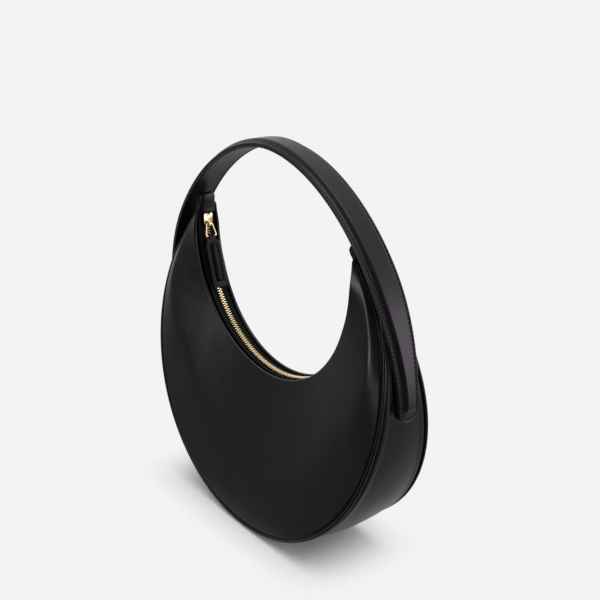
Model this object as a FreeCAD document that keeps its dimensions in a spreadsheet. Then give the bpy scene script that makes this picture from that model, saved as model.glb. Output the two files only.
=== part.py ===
"""Half moon bag in smooth leather with a zipped mouth and a padded loop handle.

Millimetres. The origin is under the middle of the bag, on the surface it stands on.
X runs along the bag's width, -Y is the front and Z is up.
"""
import FreeCAD, Part
import math
import os
from FreeCAD import Placement, Rotation, Vector

os.makedirs("parts", exist_ok=True)
doc = FreeCAD.newDocument("half_moon_bag")

SIZES = {
    # outline of the crescent, as the ellipse of its side seams
    "seam_half_width": 150.0, "seam_half_height": 145.5, "gusset_bulge": 4.3, "base_flat": 1.4,
    # half depth of the side band: at its foot, lost by half way up, and left at the horns
    "base_half_depth": 39.2, "depth_lean": 9.3, "depth_round": 7.9, "horn_half_depth": 4.6, "horn_blend": 2.4,
    # round mouth of the crescent, and the width of leather that is left where the horns end
    "mouth_radius": 103.8, "mouth_rise": 86.0, "mouth_half_depth": 8.8, "mouth_flare": 3.2,
    "mouth_tip_half_depth": 9.6, "mouth_tip_length": 24.0, "horn_band": 2.4, "panel_bulge": 3.0,
    # thickness of the sheets and the play between them
    "leather": 1.8, "lining": 0.8, "board": 1.2, "ply_gap": 0.25, "welt_radius": 1.5,
    # how far the inside pieces stop short of the mouth, the seams and the horns
    "lining_mouth_cut": 3.2, "lining_seam_cut": 8.0, "lining_horn_cut": 38.0,
    "band_lining_cut": 9.0, "band_lining_horn_cut": 61.0, "board_edge_cut": 7.5, "board_half_length": 152.0,
    "pocket_drop": 28.0, "pocket_foot_cut": 38.0, "pocket_half_width": 61.0,
    # zip
    "chain_drop": 0.6, "tape": 0.8, "tape_end_cut": 1.8, "tooth_pitch": 2.4, "tooth_thickness": 1.0,
    "tooth_reach": 2.3, "tooth_overlap": 0.8, "tooth_height": 2.2, "chain_end_cut": 33.0,
    "stop_length": 1.5, "stop_gap": 0.85, "stop_split": 0.9, "stop_lead": 2.5,
    # slider
    "slider_length": 11.2, "slider_width": 9.2, "slider_rear": 7.8, "slider_plate": 1.3, "slider_play": 0.4,
    "slider_flange": 1.3, "post_length": 3.2, "post_width": 1.6, "weld": 0.2,
    "bridge_width": 2.4, "bridge_leg": 1.4, "bridge_beam": 1.2, "bridge_set_back": 3.6,
    # pull ring and leather tab
    "wire_radius": 0.75, "ring_length": 10.4, "ring_top": 5.6, "ring_foot": 10.0, "pull_lean": 19.0,
    "eye_play": 0.08, "eye_wall": 1.2, "tab_width": 11.5, "tab_length": 45.0, "tab_thickness": 2.4,
    "tab_neck": 6.4, "tab_neck_length": 5.0, "tab_shoulder": 6.0, "tab_corner": 1.5,
    "ridge_height": 0.8, "ridge_margin": 3.0, "ridge_neck": 3.0, "ridge_start": 4.0, "ridge_end": 5.0,
    "core_start": 13.0, "core_end": 7.0,
    # caps over the zip ends
    "cap_half_width": 7.0, "cap_thickness": 1.6, "cap_cover": 6.6, "cap_gap": 0.4, "cap_over": 2.0,
    "cap_outer_leg": 7.2,
    # handle
    "handle_half_width": 13.15, "handle_tip_half_width": 8.7, "handle_taper": 95.0, "handle_square": 1.87,
    "handle_headroom": 66.2, "handle_lift": 0.8, "handle_tip_drop": 3.2, "handle_play": 0.5,
    "handle_ply": 1.6, "handle_pad": 2.0, "handle_pad_share": 0.56, "handle_slope": 1.4, "pad_tip_inset": 6.0,
}
sheet = doc.addObject("Spreadsheet::Sheet", "Sizes")
for row, (alias, value) in enumerate(SIZES.items(), 1):
    sheet.set(f"A{row}", alias)
    sheet.set(f"B{row}", str(value))
    sheet.setAlias(f"B{row}", alias)
doc.recompute()


def size(alias):
    return float(sheet.get(alias))


BAG_Z = size("seam_half_height") + size("gusset_bulge") - size("base_flat")
MOUTH_Z = BAG_Z + size("mouth_rise")
CHAIN_R = size("mouth_radius") + size("chain_drop")
FIT = size("ply_gap")
SUBPARTS = []


def swing(length, radius):
    """Angle in degrees of an arc of a given length."""
    return math.degrees(length / radius)


def sub_part(label, shape=None, made=None):
    """Name a finished piece; a bare shape becomes a feature of the document first."""
    piece = made or doc.addObject("Part::Feature", label)
    if shape is not None:
        piece.Shape = shape
    piece.Label = label
    SUBPARTS.append(piece)
    return piece


def spoke(radius, angle, y=0.0):
    """Point on a spoke of the mouth: angle 0 hangs straight down, +90 is the right horn."""
    a = math.radians(angle)
    return Vector(radius * math.sin(a), y, MOUTH_Z - radius * math.cos(a))


def stations(limit, count):
    return [limit * (2.0 * i / (count - 1) - 1.0) for i in range(count)]


def strip_solid(sections):
    """Solid through a row of polygons with the same corners, joined by flat triangles."""
    faces = [Part.Face(Part.makePolygon(ends + ends[:1])) for ends in (sections[0], sections[-1])]
    for one, two in zip(sections, sections[1:]):
        for i in range(len(one)):
            for corners in ((one[i - 1], one[i], two[i]), (one[i - 1], two[i], two[i - 1])):
                faces.append(Part.Face(Part.makePolygon(corners + corners[:1])))
    shell = Part.makeShell(faces)
    shell.sewShape()
    solid = Part.makeSolid(shell)
    return solid if solid.Volume > 0 else solid.reversed()


def seam_radius(angle):
    """Distance along a spoke from the mouth's centre to the seam ellipse."""
    s, c = math.sin(math.radians(angle)), math.cos(math.radians(angle))
    a2, b2, rise = size("seam_half_width") ** 2, size("seam_half_height") ** 2, size("mouth_rise")
    qa, qb, qc = s * s / a2 + c * c / b2, -2 * rise * c / b2, rise * rise / b2 - 1
    return (-qb + math.sqrt(qb * qb - 4 * qa * qc)) / (2 * qa)


def outline_normal(point):
    """Outward unit normal of the seam ellipse near a point, in the XZ plane."""
    n = Vector(point.x / size("seam_half_width") ** 2, 0,
               (point.z - BAG_Z) / size("seam_half_height") ** 2)
    return n.normalize()


def slant(angle):
    """How much longer a step along a spoke is than the same step square to the outline."""
    a = math.radians(angle)
    n = outline_normal(spoke(seam_radius(angle), angle))
    return 1.0 / (n.x * math.sin(a) - n.z * math.cos(a))


def seam_half_depth(angle):
    """Half depth of the side band: deep at the foot, drawn in smoothly to the horns."""
    up = 1.0 + (spoke(seam_radius(angle), angle).z - BAG_Z) / size("seam_half_height")
    least = size("horn_half_depth")
    over = size("base_half_depth") - size("depth_lean") * up - size("depth_round") * up * up - least
    return least + 0.5 * (over + math.hypot(over, size("horn_blend")))


def horn_end():
    """Angle of the spoke where the leather between mouth and seam is as narrow as the horn band."""
    low, high = 0.0, 180.0
    while high - low > 1e-9:
        middle = (low + high) / 2
        if seam_radius(middle) - size("mouth_radius") > size("horn_band"):
            low = middle
        else:
            high = middle
    return low


HORN = horn_end()
CAP_START = HORN - swing(size("cap_cover"), CHAIN_R)
TOP_STOP = CAP_START - swing(size("cap_gap") + size("stop_length") / 2, CHAIN_R)
SLIDER_AT = TOP_STOP - swing((size("stop_length") + size("slider_length")) / 2 + size("stop_gap"), CHAIN_R)
SLIDER_RISE = SLIDER_AT - 90.0
CHAIN_END = HORN - swing(size("chain_end_cut"), CHAIN_R)


def smooth_step(value):
    t = min(1.0, max(0.0, value))
    return t * t * (3 - 2 * t)


def mouth_half_depth(angle):
    """Half width of the mouth: it opens a little upward and closes again at the tips of the horns."""
    radius, tip = size("mouth_radius"), size("mouth_tip_length")
    wide = size("mouth_half_depth") + size("mouth_flare") * (1 - math.cos(math.radians(angle)))
    below_tip = spoke(radius, HORN).z - spoke(radius, angle).z
    return wide + (size("mouth_tip_half_depth") - wide) * smooth_step(1.0 - below_tip / tip)


def panel_line(angle, share, inset):
    """Point (radius, depth) of a panel: share 0 is the mouth edge, 1 the seam."""
    r0, y0 = size("mouth_radius"), mouth_half_depth(angle)
    dr, dy = seam_radius(angle) - r0, seam_half_depth(angle) - y0
    length = math.hypot(dr, dy)
    crown = min(size("panel_bulge"), 0.12 * length) * 4 * share * (1 - share) - inset
    return r0 + dr * share - dy / length * crown, y0 + dy * share + dr / length * crown


def panel_length(angle):
    return math.hypot(seam_radius(angle) - size("mouth_radius"),
                      seam_half_depth(angle) - mouth_half_depth(angle))


def panel_section(angle, side, inset, thick, mouth_cut, seam_cut, spans):
    """Closed section of a panel skin on one spoke, crowned between its mouth edge and its seam."""
    length = panel_length(angle)
    first, last = mouth_cut / length, 1.0 - seam_cut / length
    shares = [first + (last - first) * i / spans for i in range(spans + 1)]
    outer = [panel_line(angle, share, inset) for share in shares]
    inner = [panel_line(angle, share, inset + thick) for share in reversed(shares)]
    return [spoke(r, angle, side * y) for r, y in outer + inner]


def panel_skin(side, inset, thick, cuts, limit, count, spans):
    return [panel_section(a, side, inset, thick, *cuts, spans) for a in stations(limit, count)]


def gusset_section(angle, inset, thick, edge_cut, spans):
    """Closed section of the side band on one spoke, crowned outward between its two seams."""
    k, g, r = slant(angle), seam_half_depth(angle), seam_radius(angle)
    crown = size("gusset_bulge") * g / size("base_half_depth")
    rows = [(g - edge_cut) * (2.0 * i / spans - 1.0) for i in range(spans + 1)]
    outer = [(crown * (1 - (y / g) ** 2) - inset, y) for y in rows]
    inner = [(rise - thick, y) for rise, y in reversed(outer)]
    return [spoke(r + rise * k, angle, y) for rise, y in outer + inner]


def gusset_skin(inset, thick, edge_cut, limit, count, spans):
    return [gusset_section(a, inset, thick, edge_cut, spans) for a in stations(limit, count)]


def make_shell():
    """Leather panels, the side band with its flat foot, and the welts between them."""
    seam_cut = size("welt_radius") + 2 * FIT
    for label, side in (("front_panel", -1), ("back_panel", 1)):
        sub_part(label, strip_solid(panel_skin(side, 0.0, size("leather"), (0.0, seam_cut), HORN, 41, 6)))
    band = strip_solid(gusset_skin(0.0, size("leather"), seam_cut + 0.4 * size("leather"), HORN, 41, 6))
    wide, deep, high = (2 * size(name) for name in ("seam_half_width", "base_half_depth", "gusset_bulge"))
    below = Part.makeBox(wide, deep, high, Vector(-wide / 2, -deep / 2, -high))
    sub_part("gusset", band.cut(below))
    corners = [math.radians(60.0 * i) for i in range(6)]
    for label, side in (("front_welt", -1), ("back_welt", 1)):
        rings = []
        for a in stations(HORN, 41):
            r, y, radius = seam_radius(a), side * seam_half_depth(a), size("welt_radius")
            rings.append([spoke(r + radius * math.cos(t), a, y + radius * math.sin(t)) for t in corners])
        sub_part(label, strip_solid(rings))


def make_inside():
    """Cloth lining, the board that stiffens the foot and a slip pocket on the back."""
    cloth, play, mouth = size("lining"), 2 * FIT, size("mouth_radius")
    skin = size("leather") + play
    cuts = size("lining_mouth_cut"), size("lining_seam_cut")
    limit = HORN - swing(size("lining_horn_cut"), mouth)
    for label, side in (("lining_front", -1), ("lining_back", 1)):
        sub_part(label, strip_solid(panel_skin(side, skin, cloth, cuts, limit, 19, 3)))
    limit = swing(size("board_half_length"), seam_radius(0.0))
    board = gusset_skin(skin, size("board"), size("board_edge_cut"), limit, 13, 4)
    sub_part("base_board", strip_solid(board))
    inner, limit = skin + size("board") + 2 * play, HORN - swing(size("band_lining_horn_cut"), mouth)
    sub_part("lining_gusset", strip_solid(gusset_skin(inner, cloth, size("band_lining_cut"), limit, 17, 4)))
    cuts = size("pocket_drop"), size("pocket_foot_cut")
    limit = swing(size("pocket_half_width"), mouth + size("pocket_drop"))
    sub_part("inner_pocket", strip_solid(panel_skin(1, skin + cloth + play, cloth, cuts, limit, 9, 3)))


def make_tapes():
    """Woven tapes of the zip: each fills the mouth from the chain to its panel."""
    r_out, r_in = CHAIN_R - size("tape") / 2, CHAIN_R + size("tape") / 2
    y_chain = size("tooth_reach") + FIT
    for label, side in (("zip_tape_front", -1), ("zip_tape_back", 1)):
        sections = []
        for a in stations(HORN - swing(size("tape_end_cut"), CHAIN_R), 31):
            drops = 0.0, r_in - size("mouth_radius") + size("tape")
            y_far = min(panel_line(a, d / panel_length(a), size("leather"))[1] for d in drops) - 2 * FIT
            sections.append([spoke(r, a, side * y) for r, y in
                             ((r_out, y_chain), (r_out, y_far), (r_in, y_far), (r_in, y_chain))])
        sub_part(label, strip_solid(sections))


def tooth(side):
    """One tooth at the left horizontal: broad where it grips the tape, narrow at its nose."""
    half, nose = size("tooth_thickness") / 2, size("tooth_thickness") * 0.36
    root, tip = side * size("tooth_reach"), -side * size("tooth_overlap")
    x = -CHAIN_R - size("tooth_height") / 2
    corners = [Vector(x, root, -half), Vector(x, tip, -nose), Vector(x, tip, nose), Vector(x, root, half)]
    face = Part.Face(Part.makePolygon(corners + corners[:1]))
    return face.extrude(Vector(size("tooth_height"), 0, 0))


def make_chain():
    """Two rows of teeth half a pitch apart, so that they mesh, and the stops at both ends."""
    step = swing(size("tooth_pitch"), CHAIN_R)
    count = int((SLIDER_AT + CHAIN_END) / step)
    for label, side, lead in (("zip_teeth_front", -1, 0.0), ("zip_teeth_back", 1, 0.5)):
        one = tooth(side)
        row = []
        for i in range(count):
            each = one.copy()
            each.Placement = along_chain((i + lead) * step - SLIDER_AT)
            row.append(each)
        sub_part(label, Part.makeCompound(row))
    reach, split = size("tooth_reach"), size("stop_split")
    halves = [stop_block(-reach, -split, -TOP_STOP), stop_block(split, reach, -TOP_STOP)]
    sub_part("zip_top_stops", Part.makeCompound(halves))
    sub_part("zip_bottom_stop", stop_block(-reach, reach, CHAIN_END + swing(size("stop_lead"), CHAIN_R)))


def along_chain(angle):
    """Turn a piece drawn at the left horizontal to a spoke of the chain."""
    return Placement(Vector(0, 0, MOUTH_Z), Rotation(Vector(0, -1, 0), angle + 90.0))


def stop_block(y_low, y_high, angle):
    """Small metal stop across the chain, on a spoke."""
    high, length = size("tooth_height"), size("stop_length")
    corner = Vector(-CHAIN_R - high / 2, y_low, -length / 2)
    block = Part.makeBox(high, y_high - y_low, length, corner)
    block.Placement = along_chain(angle) * block.Placement
    return block


def slider_frame():
    """Place on the chain at rest: local X climbs the zip, local Z stands off it into the mouth."""
    lift = Placement(Vector(0, 0, MOUTH_Z), Rotation(Vector(0, 1, 0), SLIDER_RISE))
    upright = Rotation(Vector(0, 0, 1), Vector(0, -1, 0), Vector(1, 0, 0), "XYZ")
    return lift * Placement(Vector(-CHAIN_R, 0, 0), upright)


def primitive(kind, name, frame, at, turn=Rotation(), **expressions):
    """A primitive whose sizes are bound to the sheet, placed in a frame."""
    solid = doc.addObject("Part::" + kind, name)
    for prop, text in expressions.items():
        solid.setExpression(prop, text)
    solid.Placement = frame * Placement(at, turn)
    return solid


def boolean(kind, label, base, tools):
    """Join or cut primitives; tools that cut are joined first."""
    if kind == "Cut":
        tool = tools[0] if len(tools) == 1 else boolean("MultiFuse", label + "_tools", tools[0], tools[1:])
        result = doc.addObject("Part::Cut", label)
        result.Base, result.Tool = base, tool
    else:
        result = doc.addObject("Part::MultiFuse", label)
        result.Shapes = [base] + list(tools)
    return result


PLATE_UNDER = "(Sizes.tooth_height / 2 + Sizes.slider_play)"
PLATE_TOP = PLATE_UNDER.replace(")", " + Sizes.slider_plate)")


def plate_under():
    return size("tooth_height") / 2 + size("slider_play")


def plate_top():
    return plate_under() + size("slider_plate")


def bar_height():
    """Height of the ring's top bar above the chain, resting with play on the slider."""
    return plate_top() + size("wire_radius") + size("slider_play")


def make_slider():
    """Slider: a tapered block cut by the chain's channel and the tape's slot, a post and a bridge."""
    frame = slider_frame()
    length, width = size("slider_length"), size("slider_width")
    block = primitive("Wedge", "slider_block", frame, Vector(0, 0, 0), Rotation(Vector(0, 0, 1), -90),
                      Xmin="-Sizes.slider_rear / 2", Xmax="Sizes.slider_rear / 2",
                      X2min="-Sizes.slider_width / 2", X2max="Sizes.slider_width / 2",
                      Ymin="-Sizes.slider_length / 2", Ymax="Sizes.slider_length / 2",
                      Zmin="-" + PLATE_TOP, Zmax=PLATE_TOP, Z2min="-" + PLATE_TOP, Z2max=PLATE_TOP)
    inner = "Sizes.slider_width - 2 * Sizes.slider_flange"
    channel = primitive("Box", "slider_channel", frame,
                        Vector(-length, -width / 2 + size("slider_flange"), -plate_under()),
                        Length="2 * Sizes.slider_length", Width=inner, Height="2 * " + PLATE_UNDER)
    slot_half = size("tape") / 2 + size("slider_play")
    slot = primitive("Box", "slider_slot", frame, Vector(-length, -width, -slot_half),
                     Length="2 * Sizes.slider_length", Width="2 * Sizes.slider_width",
                     Height="Sizes.tape + 2 * Sizes.slider_play")
    shell = boolean("Cut", "slider_shell", block, [channel, slot])
    weld = size("weld")
    post = primitive("Box", "slider_post", frame,
                     Vector(length / 2 - size("post_length"), -size("post_width") / 2, -plate_under() - weld),
                     Length="Sizes.post_length", Width="Sizes.post_width",
                     Height="2 * (" + PLATE_UNDER + " + Sizes.weld)")
    gap, back, leg = size("wire_radius") + size("slider_play"), size("bridge_set_back"), size("bridge_leg")
    half_wide = size("bridge_width") / 2
    legs = [primitive("Box", name, frame, Vector(x, -half_wide, plate_top() - weld),
                      Length="Sizes.bridge_leg", Width="Sizes.bridge_width",
                      Height="2 * (Sizes.wire_radius + Sizes.slider_play + Sizes.weld)")
            for name, x in (("bridge_leg_rear", -back - gap - leg), ("bridge_leg_front", -back + gap))]
    beam = primitive("Box", "bridge_beam", frame,
                     Vector(-back - gap - leg, -half_wide, plate_top() + 2 * gap),
                     Length="2 * (Sizes.wire_radius + Sizes.slider_play + Sizes.bridge_leg)",
                     Width="Sizes.bridge_width", Height="Sizes.bridge_beam")
    sub_part("zip_slider", made=boolean("MultiFuse", "zip_slider", shell, [post] + legs + [beam]))


def pull_frame():
    """Frame of the puller at its pivot: local X runs down the puller, local Z faces the mouth."""
    turn = Rotation(Vector(0, 1, 0), 180.0 + size("pull_lean"))
    return slider_frame() * Placement(Vector(-size("bridge_set_back"), 0, bar_height()), turn)


def make_pull_ring():
    """Wire ring that splays from the bar under the bridge to the bar that carries the tab."""
    frame = pull_frame()
    length, top, foot = size("ring_length"), size("ring_top") / 2, size("ring_foot") / 2
    along_y = Rotation(Vector(1, 0, 0), -90)
    bars = [primitive("Cylinder", "ring_top_bar", frame, Vector(0, -top, 0), along_y,
                      Radius="Sizes.wire_radius", Height="Sizes.ring_top"),
            primitive("Cylinder", "ring_foot_bar", frame, Vector(length, -foot, 0), along_y,
                      Radius="Sizes.wire_radius", Height="Sizes.ring_foot")]
    for name, side in (("ring_side_front", -1), ("ring_side_back", 1)):
        wire = size("wire_radius")
        corners = [Vector(-wire, side * (top - wire), -wire), Vector(-wire, side * (top + wire), -wire),
                   Vector(length + wire, side * (foot + wire), -wire),
                   Vector(length + wire, side * (foot - wire), -wire)]
        leg = doc.addObject("Part::Feature", name)
        leg.Shape = Part.Face(Part.makePolygon(corners + corners[:1])).extrude(Vector(0, 0, 2 * wire))
        leg.Placement = frame
        bars.append(leg)
    sub_part("pull_ring", made=boolean("MultiFuse", "pull_ring", bars[0], bars[1:]))


def tab_slab(half_neck, half_wide, start, end, high):
    """Slab in the tab's plan: a narrow neck that widens at the shoulders to a square end."""
    corner, neck_end = size("tab_corner"), size("ring_length") + size("tab_neck_length")
    corners = [Vector(start, -half_neck, 0), Vector(neck_end, -half_neck, 0),
               Vector(neck_end + size("tab_shoulder"), -half_wide, 0), Vector(end - corner, -half_wide, 0),
               Vector(end, -half_wide + corner, 0)]
    corners += [Vector(p.x, -p.y, 0) for p in reversed(corners)]
    face = Part.Face(Part.makePolygon(corners + corners[:1]))
    return face.extrude(Vector(0, 0, high)).translated(Vector(0, 0, -high / 2))


def make_pull_tab():
    """Leather tab folded round the ring's foot, with a padded ridge down its middle."""
    foot, thick, wire = size("ring_length"), size("tab_thickness"), size("wire_radius")
    end, half_wide, neck = foot + size("tab_length"), size("tab_width") / 2, size("tab_neck")
    across, bore_r = Vector(0, 1, 0), wire + size("eye_play")
    skin = tab_slab(neck / 2, half_wide, foot, end, thick)
    eye = Part.makeCylinder(bore_r + size("eye_wall"), neck, Vector(foot, -neck / 2, 0), across)
    bore = Part.makeCylinder(bore_r, 2 * neck, Vector(foot, -neck, 0), across)
    ridge = tab_slab(size("ridge_neck") / 2, half_wide - size("ridge_margin"), foot + size("ridge_start"),
                     end - size("ridge_end"), thick + 2 * size("ridge_height"))
    room = Vector(foot + size("core_start"), -half_wide / 2, -thick / 4)
    length = end - size("core_end") - room.x
    hollow = Part.makeBox(length, -2 * room.y, -2 * room.z, room)
    core = Part.makeBox(length - 2 * FIT, -2 * (room.y + FIT), -2 * (room.z + FIT),
                        room + Vector(FIT, FIT, FIT))
    tab = sub_part("pull_tab", skin.fuse(eye).fuse(ridge).cut(bore).cut(hollow).removeSplitter())
    filler = sub_part("pull_tab_core", core)
    for piece in (tab, filler):
        piece.Placement = pull_frame()


def cap_line(offset):
    """Side of the folded cap in the XZ plane at an offset from its middle line, right horn."""
    thick = size("cap_thickness")
    r_leg = CHAIN_R - size("tape") / 2 - FIT - thick / 2
    top, leg = HORN + swing(size("cap_over"), CHAIN_R), swing(size("cap_outer_leg"), CHAIN_R)
    points = [(spoke(r_leg, a), spoke(0.0, a) - spoke(1.0, a))
              for a in (CAP_START, (CAP_START + HORN) / 2, HORN, top)]
    stand = size("welt_radius") + 2 * FIT + thick / 2
    outer = []
    for a in (top, HORN, HORN - leg / 2, HORN - leg):
        seam = spoke(seam_radius(a), a)
        normal = outline_normal(seam)
        outer.append((seam + normal * stand, normal))
    middle = (points[-1][0] + outer[0][0]) * 0.5
    across = outer[0][0] - points[-1][0]
    up = Vector(-across.z, 0, across.x).normalize()
    crest = (middle + up * across.Length * 0.62, up)
    return [p + n * offset for p, n in points + [crest] + outer]


def make_caps():
    """Leather caps folded over the ends of the zip at the tips of the horns."""
    half = size("cap_thickness") / 2
    outer, inner = cap_line(half), cap_line(-half)
    edges = [Part.Arc(*row[i:i + 3]).toShape() for row in (outer, inner) for i in (0, 2, 4, 6)]
    edges += [Part.makeLine(outer[i], inner[i]) for i in (0, -1)]
    wire = Part.Wire(Part.__sortEdges__(edges))
    wide = size("cap_half_width")
    cap = Part.Face(wire).extrude(Vector(0, 2 * wide, 0)).translated(Vector(0, -wide, 0))
    right = sub_part("zip_end_cap_right", cap)
    left = doc.addObject("Part::Mirroring", "zip_end_cap_left")
    left.Source, left.Base, left.Normal = right, Vector(0, 0, 0), Vector(1, 0, 0)
    sub_part("zip_end_cap_left", made=left)


HANDLE_CENTRE = BAG_Z + size("handle_lift")
HANDLE_RISE = spoke(size("mouth_radius"), HORN).z + size("handle_headroom") - HANDLE_CENTRE


def handle_reach():
    """Half width of the arch that keeps its underside clear of the side band and the caps."""
    n, reach = size("handle_square"), 0.0
    plies = 2 * size("handle_ply") + FIT + size("handle_play")
    for a in stations(HORN, 241):
        seam = spoke(seam_radius(a), a)
        if a < 0 or seam.z < HANDLE_CENTRE:
            continue
        stand = size("gusset_bulge") * seam_half_depth(a) / size("base_half_depth")
        if a > HORN - swing(size("cap_outer_leg") + size("cap_thickness"), CHAIN_R):
            stand = size("welt_radius") + 2 * FIT + size("cap_thickness")
        p = seam + outline_normal(seam) * (stand + plies)
        share = (p.z - HANDLE_CENTRE) / HANDLE_RISE
        reach = max(reach, p.x / (1 - share ** n) ** (1 / n))
    return reach


HANDLE_REACH = handle_reach()


def handle_point(angle):
    """Point and outward normal of the handle's outer face on its squared-off ellipse."""
    n = size("handle_square")
    c, s = math.cos(math.radians(angle)), math.sin(math.radians(angle))
    x, z = math.copysign(abs(c) ** (2 / n), c), math.copysign(abs(s) ** (2 / n), s)
    slope = Vector(math.copysign(abs(x) ** (n - 1), x) / HANDLE_REACH, 0,
                   math.copysign(abs(z) ** (n - 1), z) / HANDLE_RISE)
    return Vector(HANDLE_REACH * x, 0, HANDLE_RISE * z + HANDLE_CENTRE), slope.normalize()


def handle_half_width(z):
    least, most = size("handle_tip_half_width"), size("handle_half_width")
    return least + (most - least) * smooth_step((z - HANDLE_CENTRE) / size("handle_taper"))


def handle_strip(profile):
    """Strip over the arch: the profile gives (y, height) corners for a half width."""
    below = 2 * (size("handle_lift") + size("handle_tip_drop")) / HANDLE_RISE
    start = -math.degrees(math.asin(below ** (size("handle_square") / 2)))
    sections = []
    for i in range(25):
        point, normal = handle_point(start + (180.0 - 2 * start) * i / 24)
        corners = profile(handle_half_width(point.z))
        sections.append([point + normal * h + Vector(0, y, 0) for y, h in corners])
    return strip_solid(sections)


def round_ends(strip, inset):
    """Trim both ends of a strip to the round tip, drawn in by an inset."""
    radius = size("handle_tip_half_width")
    centre = BAG_Z - size("handle_tip_drop") + radius
    long, wide, high = 3 * HANDLE_REACH, 4 * size("handle_half_width"), 2 * HANDLE_RISE
    upper = Part.makeBox(long, wide, high, Vector(-long / 2, -wide / 2, centre))
    disc = Part.makeCylinder(radius - inset, long, Vector(-long / 2, 0, centre), Vector(1, 0, 0))
    return strip.common(upper.fuse(disc))


def make_handle():
    """Handle of two leather plies with a padded core that lifts the middle of the outer one."""
    ply, pad, share, slope = (size("handle_" + name) for name in ("ply", "pad", "pad_share", "slope"))
    side_ply = 0.8 * ply

    def outer(w):
        c = w * share
        top = [(-w, -ply), (-w, 0), (-c, 0), (-c + slope, pad)]
        under = [(c - side_ply, -ply), (c - side_ply - slope, pad - ply)]
        return top + [(-y, h) for y, h in reversed(top)] + under + [(-y, h) for y, h in reversed(under)]

    def core(w):
        c = w * share - side_ply - FIT
        return [(-c, -ply), (-c + slope, pad - ply - FIT), (c - slope, pad - ply - FIT), (c, -ply)]

    def lining(w):
        return [(-w, -2 * ply - FIT), (-w, -ply - FIT), (w, -ply - FIT), (w, -2 * ply - FIT)]

    sub_part("handle_outer", round_ends(handle_strip(outer), 0.0))
    sub_part("handle_core", round_ends(handle_strip(core), size("pad_tip_inset")))
    sub_part("handle_lining", round_ends(handle_strip(lining), 0.0))


make_shell()
make_inside()
make_tapes()
make_chain()
make_slider()
make_pull_ring()
make_pull_tab()
make_caps()
make_handle()
doc.recompute()

for piece in doc.Objects:
    if "Invalid" in piece.State or "Error" in piece.State:
        raise RuntimeError(f"{piece.Label} failed to rebuild")
for piece in SUBPARTS:
    if piece.Shape.isNull() or not piece.Shape.isValid():
        raise RuntimeError(f"{piece.Label} is not a valid solid")
for piece in SUBPARTS:
    piece.Shape.exportStep(f"parts/{piece.Label}.step")
    box = piece.Shape.BoundBox
    span = " ".join(f"{low:7.1f} {high:7.1f}" for low, high in
                    ((box.XMin, box.XMax), (box.YMin, box.YMax), (box.ZMin, box.ZMax)))
    print(f"{piece.Label:18s} solids {len(piece.Shape.Solids):3d} volume {piece.Shape.Volume:9.1f} box {span}")
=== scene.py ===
# %% [markdown]
# # A half moon bag in smooth black leather
# The bag is a crescent: two flat leather panels, a deep side band between them, a zip that
# closes the round mouth and a padded strap that arches over it. The CAD frame already holds
# every size, so each Blender piece is drawn on the frame's own lines, in metres.

# %% Load the frame
import math
import bmesh
import bpy
import numpy as np
from mathutils import Matrix, Vector


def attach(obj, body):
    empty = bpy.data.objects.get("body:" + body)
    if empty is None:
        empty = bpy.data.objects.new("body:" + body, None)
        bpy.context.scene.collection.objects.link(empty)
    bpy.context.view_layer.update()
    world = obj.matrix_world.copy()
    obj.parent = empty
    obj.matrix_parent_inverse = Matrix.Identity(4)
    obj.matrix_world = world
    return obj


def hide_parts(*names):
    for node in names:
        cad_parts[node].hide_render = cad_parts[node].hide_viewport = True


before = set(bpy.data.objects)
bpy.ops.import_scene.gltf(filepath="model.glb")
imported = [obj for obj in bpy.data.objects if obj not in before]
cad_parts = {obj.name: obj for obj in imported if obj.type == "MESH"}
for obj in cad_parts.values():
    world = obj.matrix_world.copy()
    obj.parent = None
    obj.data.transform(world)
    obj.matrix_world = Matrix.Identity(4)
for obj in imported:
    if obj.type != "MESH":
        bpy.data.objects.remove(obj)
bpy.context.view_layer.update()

# %% [markdown]
# ## Numbers that become nodes
# Shader maths is easier to read as an expression than as a web of links. `Field` wraps a socket,
# and each operator on it adds one Math node, also with the number on the left, as in `1 - mask`.
# `Finish` is a material in the making: its one method `add` makes any node, and its other methods
# are short names for the nodes that the finishes of the bag share.


# %% A node and its sockets
def new_node(tree, kind, settings, sockets):
    """Add a node: first its settings, then the values or links of its sockets."""
    node = tree.nodes.new(kind)
    for key, value in (settings or {}).items():
        setattr(node, key, value)
    for key, value in (sockets or {}).items():
        if isinstance(value, bpy.types.NodeSocket):
            tree.links.new(value, node.inputs[key])
        else:
            node.inputs[key].default_value = value
    return node


def operator(operation, swapped=False):
    """An operator that adds a Math node; swapped is for a number on its left."""
    def work(field, other):
        first, second = (other, field) if swapped else (field, other)
        return field.finish.add("ShaderNodeMath", {"operation": operation}, {0: first, 1: second})
    return work


class Field:
    """A socket that can be calculated with."""

    def __init__(self, finish, socket):
        self.finish, self.socket = finish, socket

    __add__, __radd__ = operator("ADD"), operator("ADD", True)
    __sub__, __rsub__ = operator("SUBTRACT"), operator("SUBTRACT", True)
    __mul__, __rmul__ = operator("MULTIPLY"), operator("MULTIPLY", True)
    largest = operator("MAXIMUM")


print("fields have", [key for key in vars(Field) if key.endswith(("add__", "sub__", "mul__"))])

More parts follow.
